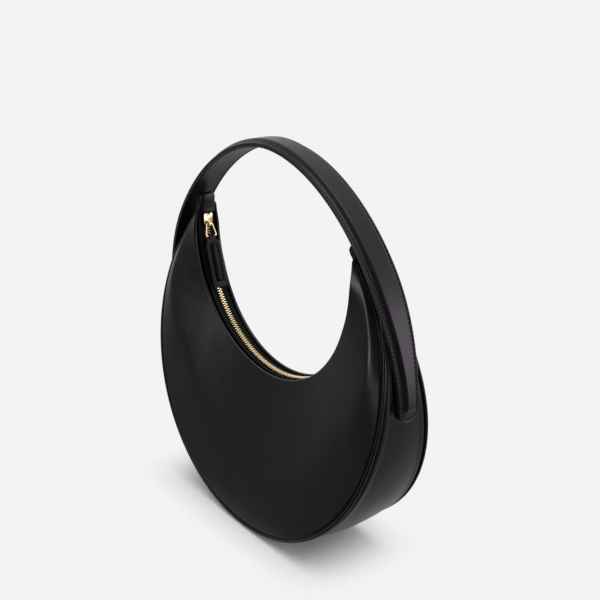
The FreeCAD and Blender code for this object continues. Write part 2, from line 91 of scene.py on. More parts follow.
# %% A finish in the making
class Finish:
    def __init__(self, name, tree=None):
        if tree is None:
            self.material = bpy.data.materials.new(name)
            self.material.use_nodes = True
            tree = self.material.node_tree
        self.tree = tree
        tree.nodes.clear()

    def add(self, kind, settings=None, sockets=None, out=0):
        plain = {key: value.socket if isinstance(value, Field) else value
                 for key, value in (sockets or {}).items()}
        node = new_node(self.tree, kind, settings, plain)
        return Field(self, node.outputs[out]) if len(node.outputs) else node

    def place(self):
        return self.add("ShaderNodeTexCoord", out="Object")

    def lay(self):
        return self.add("ShaderNodeTexCoord", out="UV")

    def noise(self, at, scale, detail=2.0, rough=0.5):
        return self.add("ShaderNodeTexNoise", None,
                        {"Vector": at, "Scale": scale, "Detail": detail, "Roughness": rough})

    def cells(self, at, scale):
        return self.add("ShaderNodeTexVoronoi", {"feature": "SMOOTH_F1"},
                        {"Vector": at, "Scale": scale, "Smoothness": 0.6})

    def ramp(self, value, low, high, start=0.0):
        """Soft step from start, where the value is low, to 1, where it is high."""
        return self.add("ShaderNodeMapRange", {"interpolation_type": "SMOOTHSTEP"},
                        {"Value": value, "From Min": low, "From Max": high, "To Min": start})

    def between(self, amount, low, high):
        """Colour between two colours."""
        return self.add("ShaderNodeMix", {"data_type": "RGBA"}, {0: amount, 6: low, 7: high}, out=2)

    def bump(self, height, depth, strength, under=None):
        sockets = {"Height": height, "Distance": depth, "Strength": strength}
        if under is not None:
            sockets["Normal"] = under
        return self.add("ShaderNodeBump", None, sockets)

    def surface(self, **sockets):
        named = {key.replace("_", " "): value for key, value in sockets.items()}
        shade = self.add("ShaderNodeBsdfPrincipled", None, named)
        self.add("ShaderNodeOutputMaterial", None, {"Surface": shade})
        return self.material


print("material tools ready")

# %% [markdown]
# ## Leather
# The bag is a smooth, drummed calf: almost black, with a grain so fine that only the light shows
# it. A photograph could be laid on, but it would stretch over the curves, so the grain is grown
# from the object's own coordinates: small cells for the grain, finer noise for the pores, and a
# slow unevenness that makes the sheen wander as it does on a real hide. The strap and the caps are
# a little duller than the panels, and the puller has hardly any shine.

# %% Four pieces of hide
GRAIN, PORES, DRAPE, TONE = 1250.0, 3600.0, 24.0, 85.0  # repeats in a metre
DRAPE_DEPTH = 0.0030
COOL_SHEEN = (0.98, 0.86, 1.0, 1)


def leather_finish(name, rough, grain_depth, deep, light, shine=0.3):
    hide = Finish(name)
    at = hide.place()
    grain, pores = hide.cells(at, GRAIN), hide.noise(at, PORES, 3.0)
    drape, tone = hide.noise(at, DRAPE), hide.noise(at, TONE, 4.0, 0.6)
    slow = hide.bump(drape, DRAPE_DEPTH, 0.18)
    fine = hide.bump(grain * 0.65 + pores * 0.35, grain_depth, 0.45, slow)
    return hide.surface(Base_Color=hide.between(tone, deep, light),
                        Roughness=rough - 0.05 + tone * 0.08 + pores * 0.04, Normal=fine,
                        Specular_IOR_Level=shine, Specular_Tint=COOL_SHEEN)


LEATHER = leather_finish("calf_leather", 0.28, 0.00007,
                         (0.0022, 0.0020, 0.0024, 1), (0.0044, 0.0041, 0.0046, 1))
STRAP_LEATHER = leather_finish("strap_leather", 0.33, 0.00006,
                               (0.0034, 0.0032, 0.0037, 1), (0.0064, 0.0061, 0.0068, 1))
CAP_LEATHER = leather_finish("cap_leather", 0.33, 0.00009,
                             (0.0030, 0.0029, 0.0033, 1), (0.0060, 0.0057, 0.0064, 1))
TAB_LEATHER = leather_finish("tab_leather", 0.34, 0.00007,
                             (0.0016, 0.0015, 0.0018, 1), (0.0036, 0.0034, 0.0038, 1), shine=0.10)
print("leathers", [m.name for m in (LEATHER, STRAP_LEATHER, CAP_LEATHER, TAB_LEATHER)])

# %% [markdown]
# ## Edge paint, thread and filler
# Cut leather is sealed with a thick glossy paint, the thread is a waxed twist, and the padding is
# a pressed fibre that nobody sees. Each is one simple stuff, so a single noise is enough to drive
# its colour, its roughness and its bump together: where it stands higher it is also paler.


# %% Stuffs of one noise
def speckled_finish(name, scale, detail, deep, light, rough, spread, bump, **more):
    stuff = Finish(name)
    speck = stuff.noise(stuff.place(), scale, detail)
    return stuff.surface(Base_Color=stuff.between(speck, deep, light),
                         Roughness=rough + speck * spread,
                         Normal=stuff.bump(speck, *bump), **more)


EDGE_PAINT = speckled_finish("edge_paint", 260.0, 2.0, (0.006, 0.006, 0.0064, 1),
                             (0.012, 0.0118, 0.0124, 1), 0.24, 0.1, (0.0004, 0.4),
                             Specular_IOR_Level=0.4)
THREAD = speckled_finish("black_thread", 2600.0, 2.0, (0.0012, 0.0012, 0.0014, 1),
                         (0.004, 0.0038, 0.0042, 1), 0.62, 0.2, (0.0002, 0.6),
                         Specular_IOR_Level=0.12)
FILLER = speckled_finish("pressed_fibre", 700.0, 4.0, (0.11, 0.09, 0.07, 1),
                         (0.2, 0.17, 0.13, 1), 0.75, 0.15, (0.0004, 0.5))
print("stuffs", [m.name for m in (EDGE_PAINT, THREAD, FILLER)])

# %% [markdown]
# ## Metal and cloth
# The zip is a pale gold plate. Plated metal is never perfectly even, so its roughness wanders and
# a very faint bump breaks up the reflections. The tape and the lining are woven: two sine waves
# over the piece's own UV map, which is in metres, cross each other as warp and weft.


# %% Gold
def gold_finish():
    gold = Finish("pale_gold")
    at = gold.place()
    haze, wear = gold.noise(at, 420.0, 3.0), gold.noise(at, 1900.0)
    return gold.surface(Base_Color=gold.between(haze, (0.74, 0.56, 0.33, 1), (0.84, 0.67, 0.43, 1)),
                        Metallic=1.0, Roughness=0.17 + haze * 0.1,
                        Normal=gold.bump(wear, 0.00005, 0.5))


GOLD = gold_finish()
print("metal", GOLD.name)

# %% Tape and lining
WAVE_LENGTH = 0.314  # length of one band of a Wave texture whose scale is 1


def weave_finish(name, thread_size, deep, light, rough):
    cloth = Finish(name)
    lay = cloth.lay()
    warp, weft = [cloth.add("ShaderNodeTexWave", {"bands_direction": axis},
                            {"Vector": lay, "Scale": WAVE_LENGTH / thread_size, "Distortion": 0.4,
                             "Detail": 1.0, "Detail Scale": 2.0}, out=1) for axis in "XY"]
    cross = warp.largest(weft) * 0.75 + warp * weft * 0.25
    fluff = cloth.noise(cloth.place(), 1500.0, 3.0)
    return cloth.surface(Base_Color=cloth.between(cross * 0.7 + fluff * 0.3, deep, light),
                         Roughness=rough + fluff * 0.1,
                         Normal=cloth.bump(cross, thread_size * 0.4, 0.8), Specular_IOR_Level=0.12)


TAPE = weave_finish("woven_tape", 0.0006, (0.0016, 0.0016, 0.0018, 1),
                    (0.0062, 0.0060, 0.0066, 1), 0.72)
LINING = weave_finish("lining_twill", 0.0005, (0.012, 0.011, 0.012, 1),
                      (0.04, 0.037, 0.036, 1), 0.65)
print("cloths", TAPE.name, LINING.name)

# %% [markdown]
# ## Lines of the bag
# All pieces share a few curves. Seen from the front the seams lie on one ellipse and the mouth is
# a circle whose centre is `MOUTH_Z` high. A spoke is a line from that centre, with angle 0 straight
# down. On each spoke the panel runs from the mouth to the seam, so two numbers, an angle and a
# distance, place any point of the leather.

# %% Seam and mouth
SEAM_A, SEAM_B = 0.150, 0.1455
GUSSET_CROWN, BASE_FLAT = 0.0043, 0.0014
BAG_Z = SEAM_B + GUSSET_CROWN - BASE_FLAT
MOUTH_R, MOUTH_RISE = 0.1038, 0.0860
MOUTH_Z = BAG_Z + MOUTH_RISE
CHAIN_R = MOUTH_R + 0.0006
HORN_BAND = 0.0024


def spoke(radius, angle, y=0.0):
    a = math.radians(angle)
    return (radius * math.sin(a), y, MOUTH_Z - radius * math.cos(a))


def seam_radius(angle):
    """Distance from the mouth's centre at which a spoke meets the seam's ellipse."""
    s, c = math.sin(math.radians(angle)), math.cos(math.radians(angle))
    qa = (s / SEAM_A) ** 2 + (c / SEAM_B) ** 2
    qb, qc = -2 * MOUTH_RISE * c / SEAM_B ** 2, (MOUTH_RISE / SEAM_B) ** 2 - 1
    return (-qb + math.sqrt(qb * qb - 4 * qa * qc)) / (2 * qa)


def horn_angle():
    """Angle at which the panel has narrowed to the width of the horn's tip."""
    low, high = 90.0, 110.0
    for _ in range(50):
        middle = (low + high) / 2
        wide = seam_radius(middle) - MOUTH_R > HORN_BAND
        low, high = (middle, high) if wide else (low, middle)
    return low


def swing(length):
    """Degrees round the mouth's centre that a length of zip takes."""
    return math.degrees(length / CHAIN_R)


HORN = horn_angle()
print("mouth centre at", round(MOUTH_Z, 4), "seam at the foot", round(seam_radius(0), 4))

# %% Depth of the bag
HORN_DEPTH, FOOT_DEPTH = 0.0046, 0.0392
DEPTH_LEAN, DEPTH_ROUND, HORN_BLEND = 0.0093, 0.0079, 0.0024
MOUTH_DEPTH, MOUTH_FLARE, TIP_DEPTH, TIP_RUN = 0.0088, 0.0032, 0.0096, 0.024


def ease(x, low, high):
    """Soft step from 0 at low to 1 at high."""
    t = min(1.0, max(0.0, (x - low) / (high - low)))
    return t * t * (3 - 2 * t)


def seam_depth(angle):
    """Half depth of the bag at its seam: wide at the foot, narrow at the horns."""
    up = (spoke(seam_radius(angle), angle)[2] - BAG_Z) / SEAM_B + 1
    over = FOOT_DEPTH - DEPTH_LEAN * up - DEPTH_ROUND * up * up - HORN_DEPTH
    return HORN_DEPTH + 0.5 * (over + math.hypot(over, HORN_BLEND))


def mouth_depth(angle):
    """Half depth of the bag at its mouth."""
    wide = MOUTH_DEPTH + MOUTH_FLARE * (1 - math.cos(math.radians(angle)))
    below_tip = spoke(MOUTH_R, HORN)[2] - spoke(MOUTH_R, angle)[2]
    return wide + (TIP_DEPTH - wide) * ease(1 - below_tip / TIP_RUN, 0.0, 1.0)


def seam_normal(x, z):
    nx, nz = x / SEAM_A ** 2, (z - BAG_Z) / SEAM_B ** 2
    return nx / math.hypot(nx, nz), nz / math.hypot(nx, nz)


def slant(angle):
    """How much longer a height over the seam is when it is measured along the spoke."""
    x, _, z = spoke(seam_radius(angle), angle)
    nx, nz = seam_normal(x, z)
    return 1 / (nx * math.sin(math.radians(angle)) - nz * math.cos(math.radians(angle)))


print("half depth at the foot", round(seam_depth(0), 4), "at the horns", round(seam_depth(HORN), 4))

# %% [markdown]
# ## Lofting
# Leather has thickness, so every sheet is drawn as a closed section and the sections are skinned
# in order. `loft` does that, and also writes a UV map in metres, so that a weave keeps its size.
# `dress` then says which body of the frame the piece rides on and which CAD nodes it stands for.

# %% Skin a row of closed sections
SHARP = 38.0


def travelled(points):
    """Distance along a line of points from its first point to each of them."""
    return np.concatenate([[0], np.cumsum(np.linalg.norm(np.diff(points, axis=0), axis=1))])


def finish_mesh(name, build, material, sharp=SHARP, extra=()):
    """Merge doubles, turn the faces outward and make an object of the mesh."""
    mesh = bpy.data.meshes.new(name)
    bmesh.ops.remove_doubles(build, verts=build.verts, dist=1e-6)
    bmesh.ops.recalc_face_normals(build, faces=build.faces)
    for face in build.faces:
        face.smooth = True
    build.to_mesh(mesh)
    build.free()
    mesh.set_sharp_from_angle(angle=math.radians(sharp))
    for each in (material, *extra):
        mesh.materials.append(each)
    piece = bpy.data.objects.new(name, mesh)
    bpy.context.collection.objects.link(piece)
    return piece


def loft_into(build, sections, paint=()):
    """Skin sections and close both ends; the places in paint take the second finish."""
    rows = np.asarray(sections, dtype=float)
    count, corners = rows.shape[:2]
    middle = rows[count // 2]
    along, across = travelled(rows.mean(axis=1)), travelled(np.vstack([middle, middle[:1]]))
    lay = build.loops.layers.uv.verify()
    verts = [[build.verts.new(p) for p in row] for row in rows]
    for i in range(count - 1):
        for j in range(corners):
            m = (j + 1) % corners
            face = build.faces.new((verts[i][j], verts[i][m], verts[i + 1][m], verts[i + 1][j]))
            for loop, u, v in zip(face.loops, (i, i, i + 1, i + 1), (j, j + 1, j + 1, j)):
                loop[lay].uv = (along[u], across[v])
            face.material_index = int(j in paint)
    build.faces.new(verts[0])
    build.faces.new(verts[-1])


def loft(name, sections, material, paint=(), extra=()):
    build = bmesh.new()
    loft_into(build, sections, paint)
    return finish_mesh(name, build, material, extra=extra)


def dress(piece, body, slot, *nodes):
    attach(piece, body)
    if nodes:
        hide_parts(*nodes)
    print(f"{piece.name}: {len(piece.data.polygons)} faces on {body}")
    return piece


print("loft tools ready, edges are sharp from", SHARP, "degrees")

# %% [markdown]
# ## Front and back panels
# Each panel is one piece of leather. Its mouth edge is turned in, which makes it thicker there and
# round at the lip, and its two horns end in small round corners. Toward the seam the padding inside
# ends and the leather rolls down to the stitching: a soft ridge that is crisp beside the horns and
# dies away toward the foot. A flat sheet with a bump map would lose that ridge in profile, so it is
# modelled in the section.

# %% Stations along a panel
LEATHER_THICK, LIP_THICK, LIP_ROUND = 0.0018, 0.0028, 0.0011
TIP_CORNER = 0.0045
tip_stations = [HORN - swing(TIP_CORNER * (1 - math.sin(math.radians(t))))
                for t in (0, 25, 45, 62, 78, 90)]
PANEL_STATIONS = np.unique(np.round(np.concatenate(
    [np.linspace(-tip_stations[0], tip_stations[0], 195), tip_stations,
     [-a for a in tip_stations]]), 6))


def panel_frame(angle):
    """Length of the straight line from mouth to seam, and its run outward and in depth."""
    dr, dy = seam_radius(angle) - MOUTH_R, seam_depth(angle) - mouth_depth(angle)
    return math.hypot(dr, dy), dr, dy


def panel_point(angle, along, high, side):
    length, dr, dy = panel_frame(angle)
    r = MOUTH_R + dr / length * along - dy / length * high
    return spoke(r, angle, side * (mouth_depth(angle) + dy / length * along + dr / length * high))


print("panel stations", len(PANEL_STATIONS), "panel at the foot", round(panel_frame(0)[0], 4))

# %% Padded ridge
RIDGE_HIGH, RIDGE_STEEP, RIDGE_SLIM = 0.0054, 0.42, 0.16
RIDGE_TIP, RIDGE_LEAVES, RIDGE_BENDS, RIDGE_FAR = 0.0035, 0.00029, 0.000030, 0.050
BEND_FROM, FALL_SOFT, RISE_SOFT, LIP_SHARE = 25.0, 0.05, 0.01, 0.40


def soft_end(x, soft):
    """Line through 0 that bends to a flat 1 with a rounded corner."""
    return 0.5 * (x - math.sqrt((x - 1) ** 2 + soft) + math.sqrt(1 + soft))


def ridge_place(angle):
    """Distance of the padded ridge from the seam."""
    up = 100 - abs(angle)
    return min(RIDGE_TIP + RIDGE_LEAVES * up + RIDGE_BENDS * max(0.0, up - BEND_FROM) ** 2, RIDGE_FAR)


def panel_crown(angle, along):
    """Height of the padded leather over the straight line from mouth to seam."""
    length = panel_frame(angle)[0]
    ridge = min(ridge_place(angle), 0.6 * length)
    fall = soft_end(max(0.0, length - along) / ridge, FALL_SOFT)
    rise = LIP_SHARE + (1 - LIP_SHARE) * soft_end(max(0.0, along) / (length - ridge), RISE_SOFT)
    return min(RIDGE_HIGH, RIDGE_STEEP * ridge, RIDGE_SLIM * length) * fall * rise


print("ridge from the seam", [round(ridge_place(a), 4) for a in (0, 45, 90)])

# %% Section of a panel
SEAM_CUT, PANEL_SPANS = 0.0014, 64
DIVE_DEEP, DIVE_RUN, DIVE_FULL = 0.0036, 0.0034, 0.02
HEM_FROM, HEM_TO = 0.005, 0.010


def panel_face(angle, start, length, lip):
    """Outer and inner faces: along the panel from its lip to its seam, and back again."""
    last = length - SEAM_CUT
    turns = [math.pi * i / PANEL_SPANS for i in range(PANEL_SPANS + 1)]
    outer, inner = [], []
    for d in [start + (last - start) * 0.5 * (1 - math.cos(t)) for t in turns]:
        near = max(0.0, 1 - (length - d) / DIVE_RUN)
        high = panel_crown(angle, d) - DIVE_DEEP * min(1.0, length / DIVE_FULL) * near ** 2
        hem = ease(d, min(HEM_FROM, 0.3 * length), min(HEM_TO, 0.6 * length))
        outer.append((d, high))
        inner.append((d, high - lip - (LEATHER_THICK - lip) * hem))
    return outer + inner[::-1]


def panel_rows(angle, side):
    """Closed section on one spoke: the round lip, the two faces, the lip's turned hem."""
    length = panel_frame(angle)[0]
    lip, corner = min(LIP_THICK, 0.35 * length), min(TIP_CORNER, 0.4 * length)
    short = max(0.0, 1 - (HORN - abs(angle)) / swing(TIP_CORNER))
    trim = corner * (1 - math.sqrt(max(0.0, 1 - short ** 2)))
    start = trim + LIP_ROUND
    lift = panel_crown(angle, start)
    turn = [(math.cos(math.radians(t)), math.sin(math.radians(t))) for t in (0, 18, 36, 54, 72)]
    outer = [(trim + LIP_ROUND * (1 - c), lift - LIP_ROUND * (1 - s)) for c, s in turn]
    hem = [(trim + LIP_ROUND * (1 - c), lift - lip + LIP_ROUND * (1 - s)) for c, s in turn[::-1]]
    ring = outer + panel_face(angle, start, length, lip) + hem
    return [panel_point(angle, d, h, side) for d, h in ring]


print("points in a panel's section", len(panel_rows(0.0, 1)))

# %% Sew the two panels
SIDES = (("front", -1), ("back", 1))
for name, side in SIDES:
    panel = loft(f"{name}_leather", [panel_rows(a, side) for a in PANEL_STATIONS], LEATHER)
    dress(panel, "bag", "leather", f"{name}_panel")

# %% [markdown]
# ## Side band
# One long gusset runs from horn to horn under the bag. It is widest at the foot, where the bag
# stands on it, so the lowest part is pressed flat. Beside each seam its edge rises over the turned
# seam allowance and dips again, and behind the ends of the strap the soft band sinks in. A plain
# swept strip would show none of that, so each section is worked out on its own spoke.

# %% Section of the side band
BAND_IN, BAND_SPANS = 0.0009, 72
# height, distance from the seam and width
BAND_GROOVE, BAND_SHOULDER = (0.0005, 0.0026, 0.0011), (0.0007, 0.0056, 0.0022)
HOLLOW, HOLLOW_STARTS, HOLLOW_FULL = 0.0058, 60.5, 69.0
HOLLOW_EDGE, HOLLOW_SLOPE = 0.0036, 0.008
SHOULDER_NONE, SHOULDER_FULL = 0.004, 0.013


def swell(x, high, at, wide):
    """Rounded hump of a height, round a place."""
    return high * math.exp(-((x - at) / wide) ** 2)


def band_height(angle, y):
    """Height over the seams: a low dome, a groove beside the welt and a soft shoulder after it.

    Beside the horns the soft band sinks in behind the strap.
    """
    g = seam_depth(angle)
    dome = GUSSET_CROWN * g / FOOT_DEPTH * (1 - min(1.0, abs(y) / g) ** 2)
    edge, room = g - abs(y), ease(g, SHOULDER_NONE, SHOULDER_FULL)
    shoulder = swell(edge, *BAND_SHOULDER) - swell(edge, *BAND_GROOVE)
    deep = min(HOLLOW, 0.3 * (seam_radius(angle) - MOUTH_R))
    sunk = deep * ease(abs(angle), HOLLOW_STARTS, HOLLOW_FULL)
    return dome + shoulder * room - sunk * ease(edge, HOLLOW_EDGE,
                                                HOLLOW_EDGE + min(HOLLOW_SLOPE, 0.6 * g))


def on_band(angle, rows):
    """Points of the band from heights over the seam, depths and the lowest each may lie."""
    r, k = seam_radius(angle), slant(angle)
    points = [(spoke(r + h * k, angle, y), low) for h, y, low in rows]
    return [(x, y, max(z, low)) for (x, y, z), low in points]


def band_rows(angle):
    reach = seam_depth(angle) - BAND_IN
    ys = [reach * math.sin(math.pi * (i / BAND_SPANS - 0.5)) for i in range(BAND_SPANS + 1)]
    outer = [(band_height(angle, y), y, 0.0) for y in ys]
    inner = [(h - LEATHER_THICK, y, LEATHER_THICK) for h, y, _ in reversed(outer)]
    return on_band(angle, outer + inner)


band = loft("side_band", [band_rows(a) for a in PANEL_STATIONS], LEATHER)
dress(band, "bag", "leather", "gusset")

# %% [markdown]
# ## Paths that grow pieces
# Welts, wires and stitches all follow a line. Each could be placed by hand, but a Geometry Nodes
# tree does it from the line itself: one tree sweeps a round cord along a curve, another sets a
# stitch at every step. Their sizes are named inputs, and the result is turned into a plain mesh.


# %% Curves
def path(name, lines, cyclic=False):
    curve = bpy.data.curves.new(name, "CURVE")
    curve.dimensions = "3D"
    for line in lines:
        spline = curve.splines.new("POLY")
        spline.points.add(len(line) - 1)
        for point, place in zip(spline.points, line):
            point.co = (*place, 1.0)
        spline.use_cyclic_u = cyclic
    holder = bpy.data.objects.new(name, curve)
    bpy.context.collection.objects.link(holder)
    return holder


# %% A tree under construction
class Growth:
    """A Geometry Nodes tree under construction, with named inputs."""

    def __init__(self, name, **inputs):
        self.tree = bpy.data.node_groups.new(name, "GeometryNodeTree")
        face = self.tree.interface
        face.new_socket("Geometry", in_out="OUTPUT", socket_type="NodeSocketGeometry")
        face.new_socket("Geometry", in_out="INPUT", socket_type="NodeSocketGeometry")
        self.names = {}
        for key, kind in inputs.items():
            socket = face.new_socket(key, in_out="INPUT", socket_type="NodeSocket" + kind)
            self.names[key] = socket.identifier
        self.entry = self.tree.nodes.new("NodeGroupInput")

    def add(self, kind, settings=None, sockets=None):
        return new_node(self.tree, kind, settings, sockets).outputs

    def given(self, name):
        return self.entry.outputs[name]

    def finish(self, geometry):
        solid = self.add("GeometryNodeRealizeInstances", None, {"Geometry": geometry})
        done = self.add("GeometryNodeSetMaterial", None,
                        {"Geometry": solid["Geometry"], "Material": self.given("Material")})
        self.add("NodeGroupOutput", None, {0: done["Geometry"]})
        print("tree", self.tree.name, "takes", ", ".join(self.names))

    def grow(self, name, holder, **values):
        """Run the tree on an object, keep its result as a plain mesh and drop the holder."""
        modifier = holder.modifiers.new("grow", "NODES")
        modifier.node_group = self.tree
        for key, value in values.items():
            modifier[self.names[key]] = value
        ready = holder.evaluated_get(bpy.context.evaluated_depsgraph_get())
        mesh = bpy.data.meshes.new_from_object(ready)
        holder.modifiers.remove(modifier)
        bpy.data.objects.remove(holder)
        mesh.name = name
        for polygon in mesh.polygons:
            polygon.use_smooth = True
        mesh.set_sharp_from_angle(angle=math.radians(50))
        piece = bpy.data.objects.new(name, mesh)
        bpy.context.collection.objects.link(piece)
        return piece


print("path and tree helpers ready")

# %% A round cord along a curve
CORD = Growth("round_cord", Radius="Float", Sides="Int", Material="Material")
profile = CORD.add("GeometryNodeCurvePrimitiveCircle", None,
                   {"Radius": CORD.given("Radius"), "Resolution": CORD.given("Sides")})
swept = CORD.add("GeometryNodeCurveToMesh", None,
                 {"Curve": CORD.given("Geometry"), "Profile Curve": profile["Curve"],
                  "Fill Caps": True})
CORD.finish(swept["Mesh"])

# %% A stitch at every step of a curve
STITCH = Growth("stitch_row", Step="Float", Length="Float", Thread="Float", Material="Material")
marks = STITCH.add("GeometryNodeCurveToPoints", {"mode": "LENGTH"},
                   {"Curve": STITCH.given("Geometry"), "Length": STITCH.given("Step")})
aim = STITCH.add("FunctionNodeAlignRotationToVector", {"axis": "Z"}, {"Vector": marks["Tangent"]})
bead = STITCH.add("GeometryNodeMeshUVSphere", None, {"Segments": 6, "Rings": 5, "Radius": 1.0})
half = STITCH.add("ShaderNodeMath", {"operation": "MULTIPLY"}, {0: STITCH.given("Length"), 1: 0.5})
shape = STITCH.add("ShaderNodeCombineXYZ", None,
                   {"X": STITCH.given("Thread"), "Y": STITCH.given("Thread"), "Z": half["Value"]})
stitch = STITCH.add("GeometryNodeTransform", None,
                    {"Geometry": bead["Mesh"], "Scale": shape["Vector"]})
sewn = STITCH.add("GeometryNodeInstanceOnPoints", None,
                  {"Points": marks["Points"], "Instance": stitch["Geometry"],
                   "Rotation": aim["Rotation"]})
STITCH.finish(sewn["Instances"])


def sew(name, body, lines, step, length, thread, cyclic=False):
    rows = STITCH.grow(name, path(name + "_lines", lines, cyclic),
                       Step=step, Length=length, Thread=thread, Material=THREAD)
    return dress(rows, body, "leather")


# %% [markdown]
# ## Welts and seam stitches
# A welt is a thin cord wrapped in leather that covers the seam, and a row of small stitches runs
# beside it on the side band. Both could be bevelled curves, but the export wants plain meshes and a
# stitch is hundreds of small beads, so the two trees grow them along the seam's own line.

# %% Welts along both seams
WELT_R, WELT_PROUD, WELT_IN = 0.0014, 0.0003, 0.0009


def welt_line(side):
    return [spoke(seam_radius(a) + WELT_PROUD * slant(a), a, side * (seam_depth(a) - WELT_IN))
            for a in np.linspace(-HORN, HORN, 261)]


for name, side in SIDES:
    line = path(f"welt_line_{name}", [welt_line(side)])
    cord = CORD.grow(f"welt_cord_{name}", line, Radius=WELT_R, Sides=14, Material=LEATHER)
    dress(cord, "bag", "leather", f"{name}_welt")

# %% Stitches beside the welts
SEAM_STITCH_INSET, SEAM_STITCH_END, SEAM_STITCH_LOWEST = 0.0030, 6, 0.0004
THREAD_PROUD = 0.0001


def band_stitch_line(side):
    line = []
    for a in np.linspace(-HORN + SEAM_STITCH_END, HORN - SEAM_STITCH_END, 361):
        g = seam_depth(a)
        y = g - min(SEAM_STITCH_INSET, 0.45 * g)
        x, _, z = spoke(seam_radius(a) + (band_height(a, y) + THREAD_PROUD) * slant(a), a)
        line.append((x, side * y, max(z, SEAM_STITCH_LOWEST)))
    return line


sew("seam_stitches", "bag", [band_stitch_line(side) for _, side in SIDES],
    step=0.0025, length=0.0017, thread=0.0003)

# %% [markdown]
# ## Handle
# The strap is two plies of leather glued together over a soft core, then stitched near the edge.
# The core lifts the middle of the outer ply into a flat ridge with sloping flanks, and the cut
# edges are painted. Both ends narrow and finish in a round tip that hangs below the seam. A bevelled
# curve has one section all the way, so the strap is lofted: its width, its ridge and its tips change
# along it.

# %% Line of the strap
REACH, RISE, CENTRE, SQUARE = 0.15637, 0.16926, BAG_Z + 0.0008, 1.87
TIP_R, TIP_Z, FULL_W, WIDENS = 0.0087, CENTRE - 0.0040, 0.01315, 0.095


def signed_power(x, power):
    return math.copysign(abs(x) ** power, x)


def strap_point(angle):
    """Point and outward direction of the strap's arch, an ellipse with slightly flatter flanks."""
    x, z = (signed_power(v, 2 / SQUARE) for v in (math.cos(angle), math.sin(angle)))
    nx, nz = signed_power(x, SQUARE - 1) / REACH, signed_power(z, SQUARE - 1) / RISE
    size = math.hypot(nx, nz)
    return REACH * x, RISE * z + CENTRE, nx / size, nz / size


below = math.asin(-((CENTRE - TIP_Z) / RISE) ** (SQUARE / 2))
arch = np.array([strap_point(a) for a in np.linspace(below, math.pi - below, 4001)])
arch_run = travelled(arch[:, :2])
STRAP_LENGTH = arch_run[-1]


def strap_at(s):
    """Point and outward direction at a distance along the strap."""
    return [np.interp(s, arch_run, arch[:, i]) for i in range(4)]


def strap_blank(s):
    """Half width of the strap before its tips are rounded."""
    return TIP_R + (FULL_W - TIP_R) * ease(strap_at(s)[1], CENTRE, CENTRE + WIDENS)


def strap_width(s, inset=0.0):
    end = min(s, STRAP_LENGTH - s)
    if end < TIP_R:
        return math.sqrt(max(0.0, (TIP_R - inset) ** 2 - (TIP_R - end) ** 2))
    return strap_blank(s) - inset


print("strap length", round(STRAP_LENGTH, 4))

# %% Padded face of the strap
PAD, BORDER, FLANK = 0.0029, 0.0028, 0.0027
PAD_TIP, PAD_TIP_FLANK = 0.0062, 0.0056
FURROW, FURROW_WIDE, STRAP_STITCH_INSET = 0.0004, 0.0007, 0.0016


def soft_ramp(x, soft=0.012):
    """Ramp from 0 to 1 whose two corners are slightly rounded."""
    return 0.5 * (math.sqrt(x * x + soft) - math.sqrt((x - 1) ** 2 + soft) + 1)


def pad_lift(s, y):
    """How far the filler lifts the outer ply: a flat top with sloping flanks and ends."""
    end = min(s, STRAP_LENGTH - s)
    side = soft_ramp((strap_blank(s) - BORDER - abs(y)) / FLANK)
    return PAD * max(0.0, side) * max(0.0, soft_ramp((end - PAD_TIP) / PAD_TIP_FLANK))


def strap_top(s, y):
    """Outer face: the padded lift and the small furrow that the stitches press."""
    end = min(s, STRAP_LENGTH - s)
    edge = TIP_R - math.hypot(TIP_R - end, y) if end < TIP_R else strap_blank(s) - abs(y)
    return pad_lift(s, y) - swell(edge, FURROW, STRAP_STITCH_INSET, FURROW_WIDE)


def flat_face(s, y):
    return 0.0


print("strap half width", round(strap_width(STRAP_LENGTH / 2), 4), "padded lift",
      round(pad_lift(STRAP_LENGTH / 2, 0.0), 4))

# %% Section of a ply
PLY, EDGE_R, PLY_ACROSS = 0.0016, 0.00045, 61
END_STOPS, LONG_STARTS = 0.020, 0.0225


def both_ends(half_run):
    """Stations of the whole strap from those of its first half."""
    return np.concatenate([half_run, STRAP_LENGTH - half_run[-2::-1]])


tip_steps = [TIP_R * (1 - math.cos(math.radians(t))) for t in (3, 8, 14, 21, 29, 38, 48, 59, 70, 80)]
STRAP_STATIONS = both_ends(np.concatenate([tip_steps, np.linspace(TIP_R, END_STOPS, 16),
                                           np.linspace(LONG_STARTS, STRAP_LENGTH / 2, 84)]))


def on_strap(s, rows):
    """Points across the strap from depths and heights over its line."""
    x, z, nx, nz = strap_at(s)
    return [(x + nx * h, y, z + nz * h) for y, h in rows]


def strap_section(s, top_face, low_face, drop):
    """Closed section of one ply, with rounded cut edges, at a depth under the strap's line."""
    w = strap_width(s)
    r = min(EDGE_R, 0.45 * w)
    ys = [(w - r) * (math.sin(math.pi / 2 * t) * 0.45 + t * 0.55)
          for t in np.linspace(-1, 1, PLY_ACROSS)]
    corner = [math.radians(t) for t in (70, 45, 20)]
    right = [(w - r + r * math.cos(t), -r + r * math.sin(t)) for t in corner]
    right += [(y, -PLY - h) for y, h in reversed(right)]
    under = [(y, low_face(s, y) - PLY) for y in reversed(ys)]
    ring = [(y, top_face(s, y)) for y in ys] + right + under + [(-y, h) for y, h in reversed(right)]
    return on_strap(s, [(y, h - drop) for y, h in ring])


print("strap stations", len(STRAP_STATIONS))

# %% Glue the two plies
PLY_GAP = 0.00012


def edge_faces(across, edge):
    """Places of the cut edges in a section: a face, an edge, the other face, the other edge."""
    half = across + edge
    return {k for k in range(2 * half) if k % half >= across - 1}


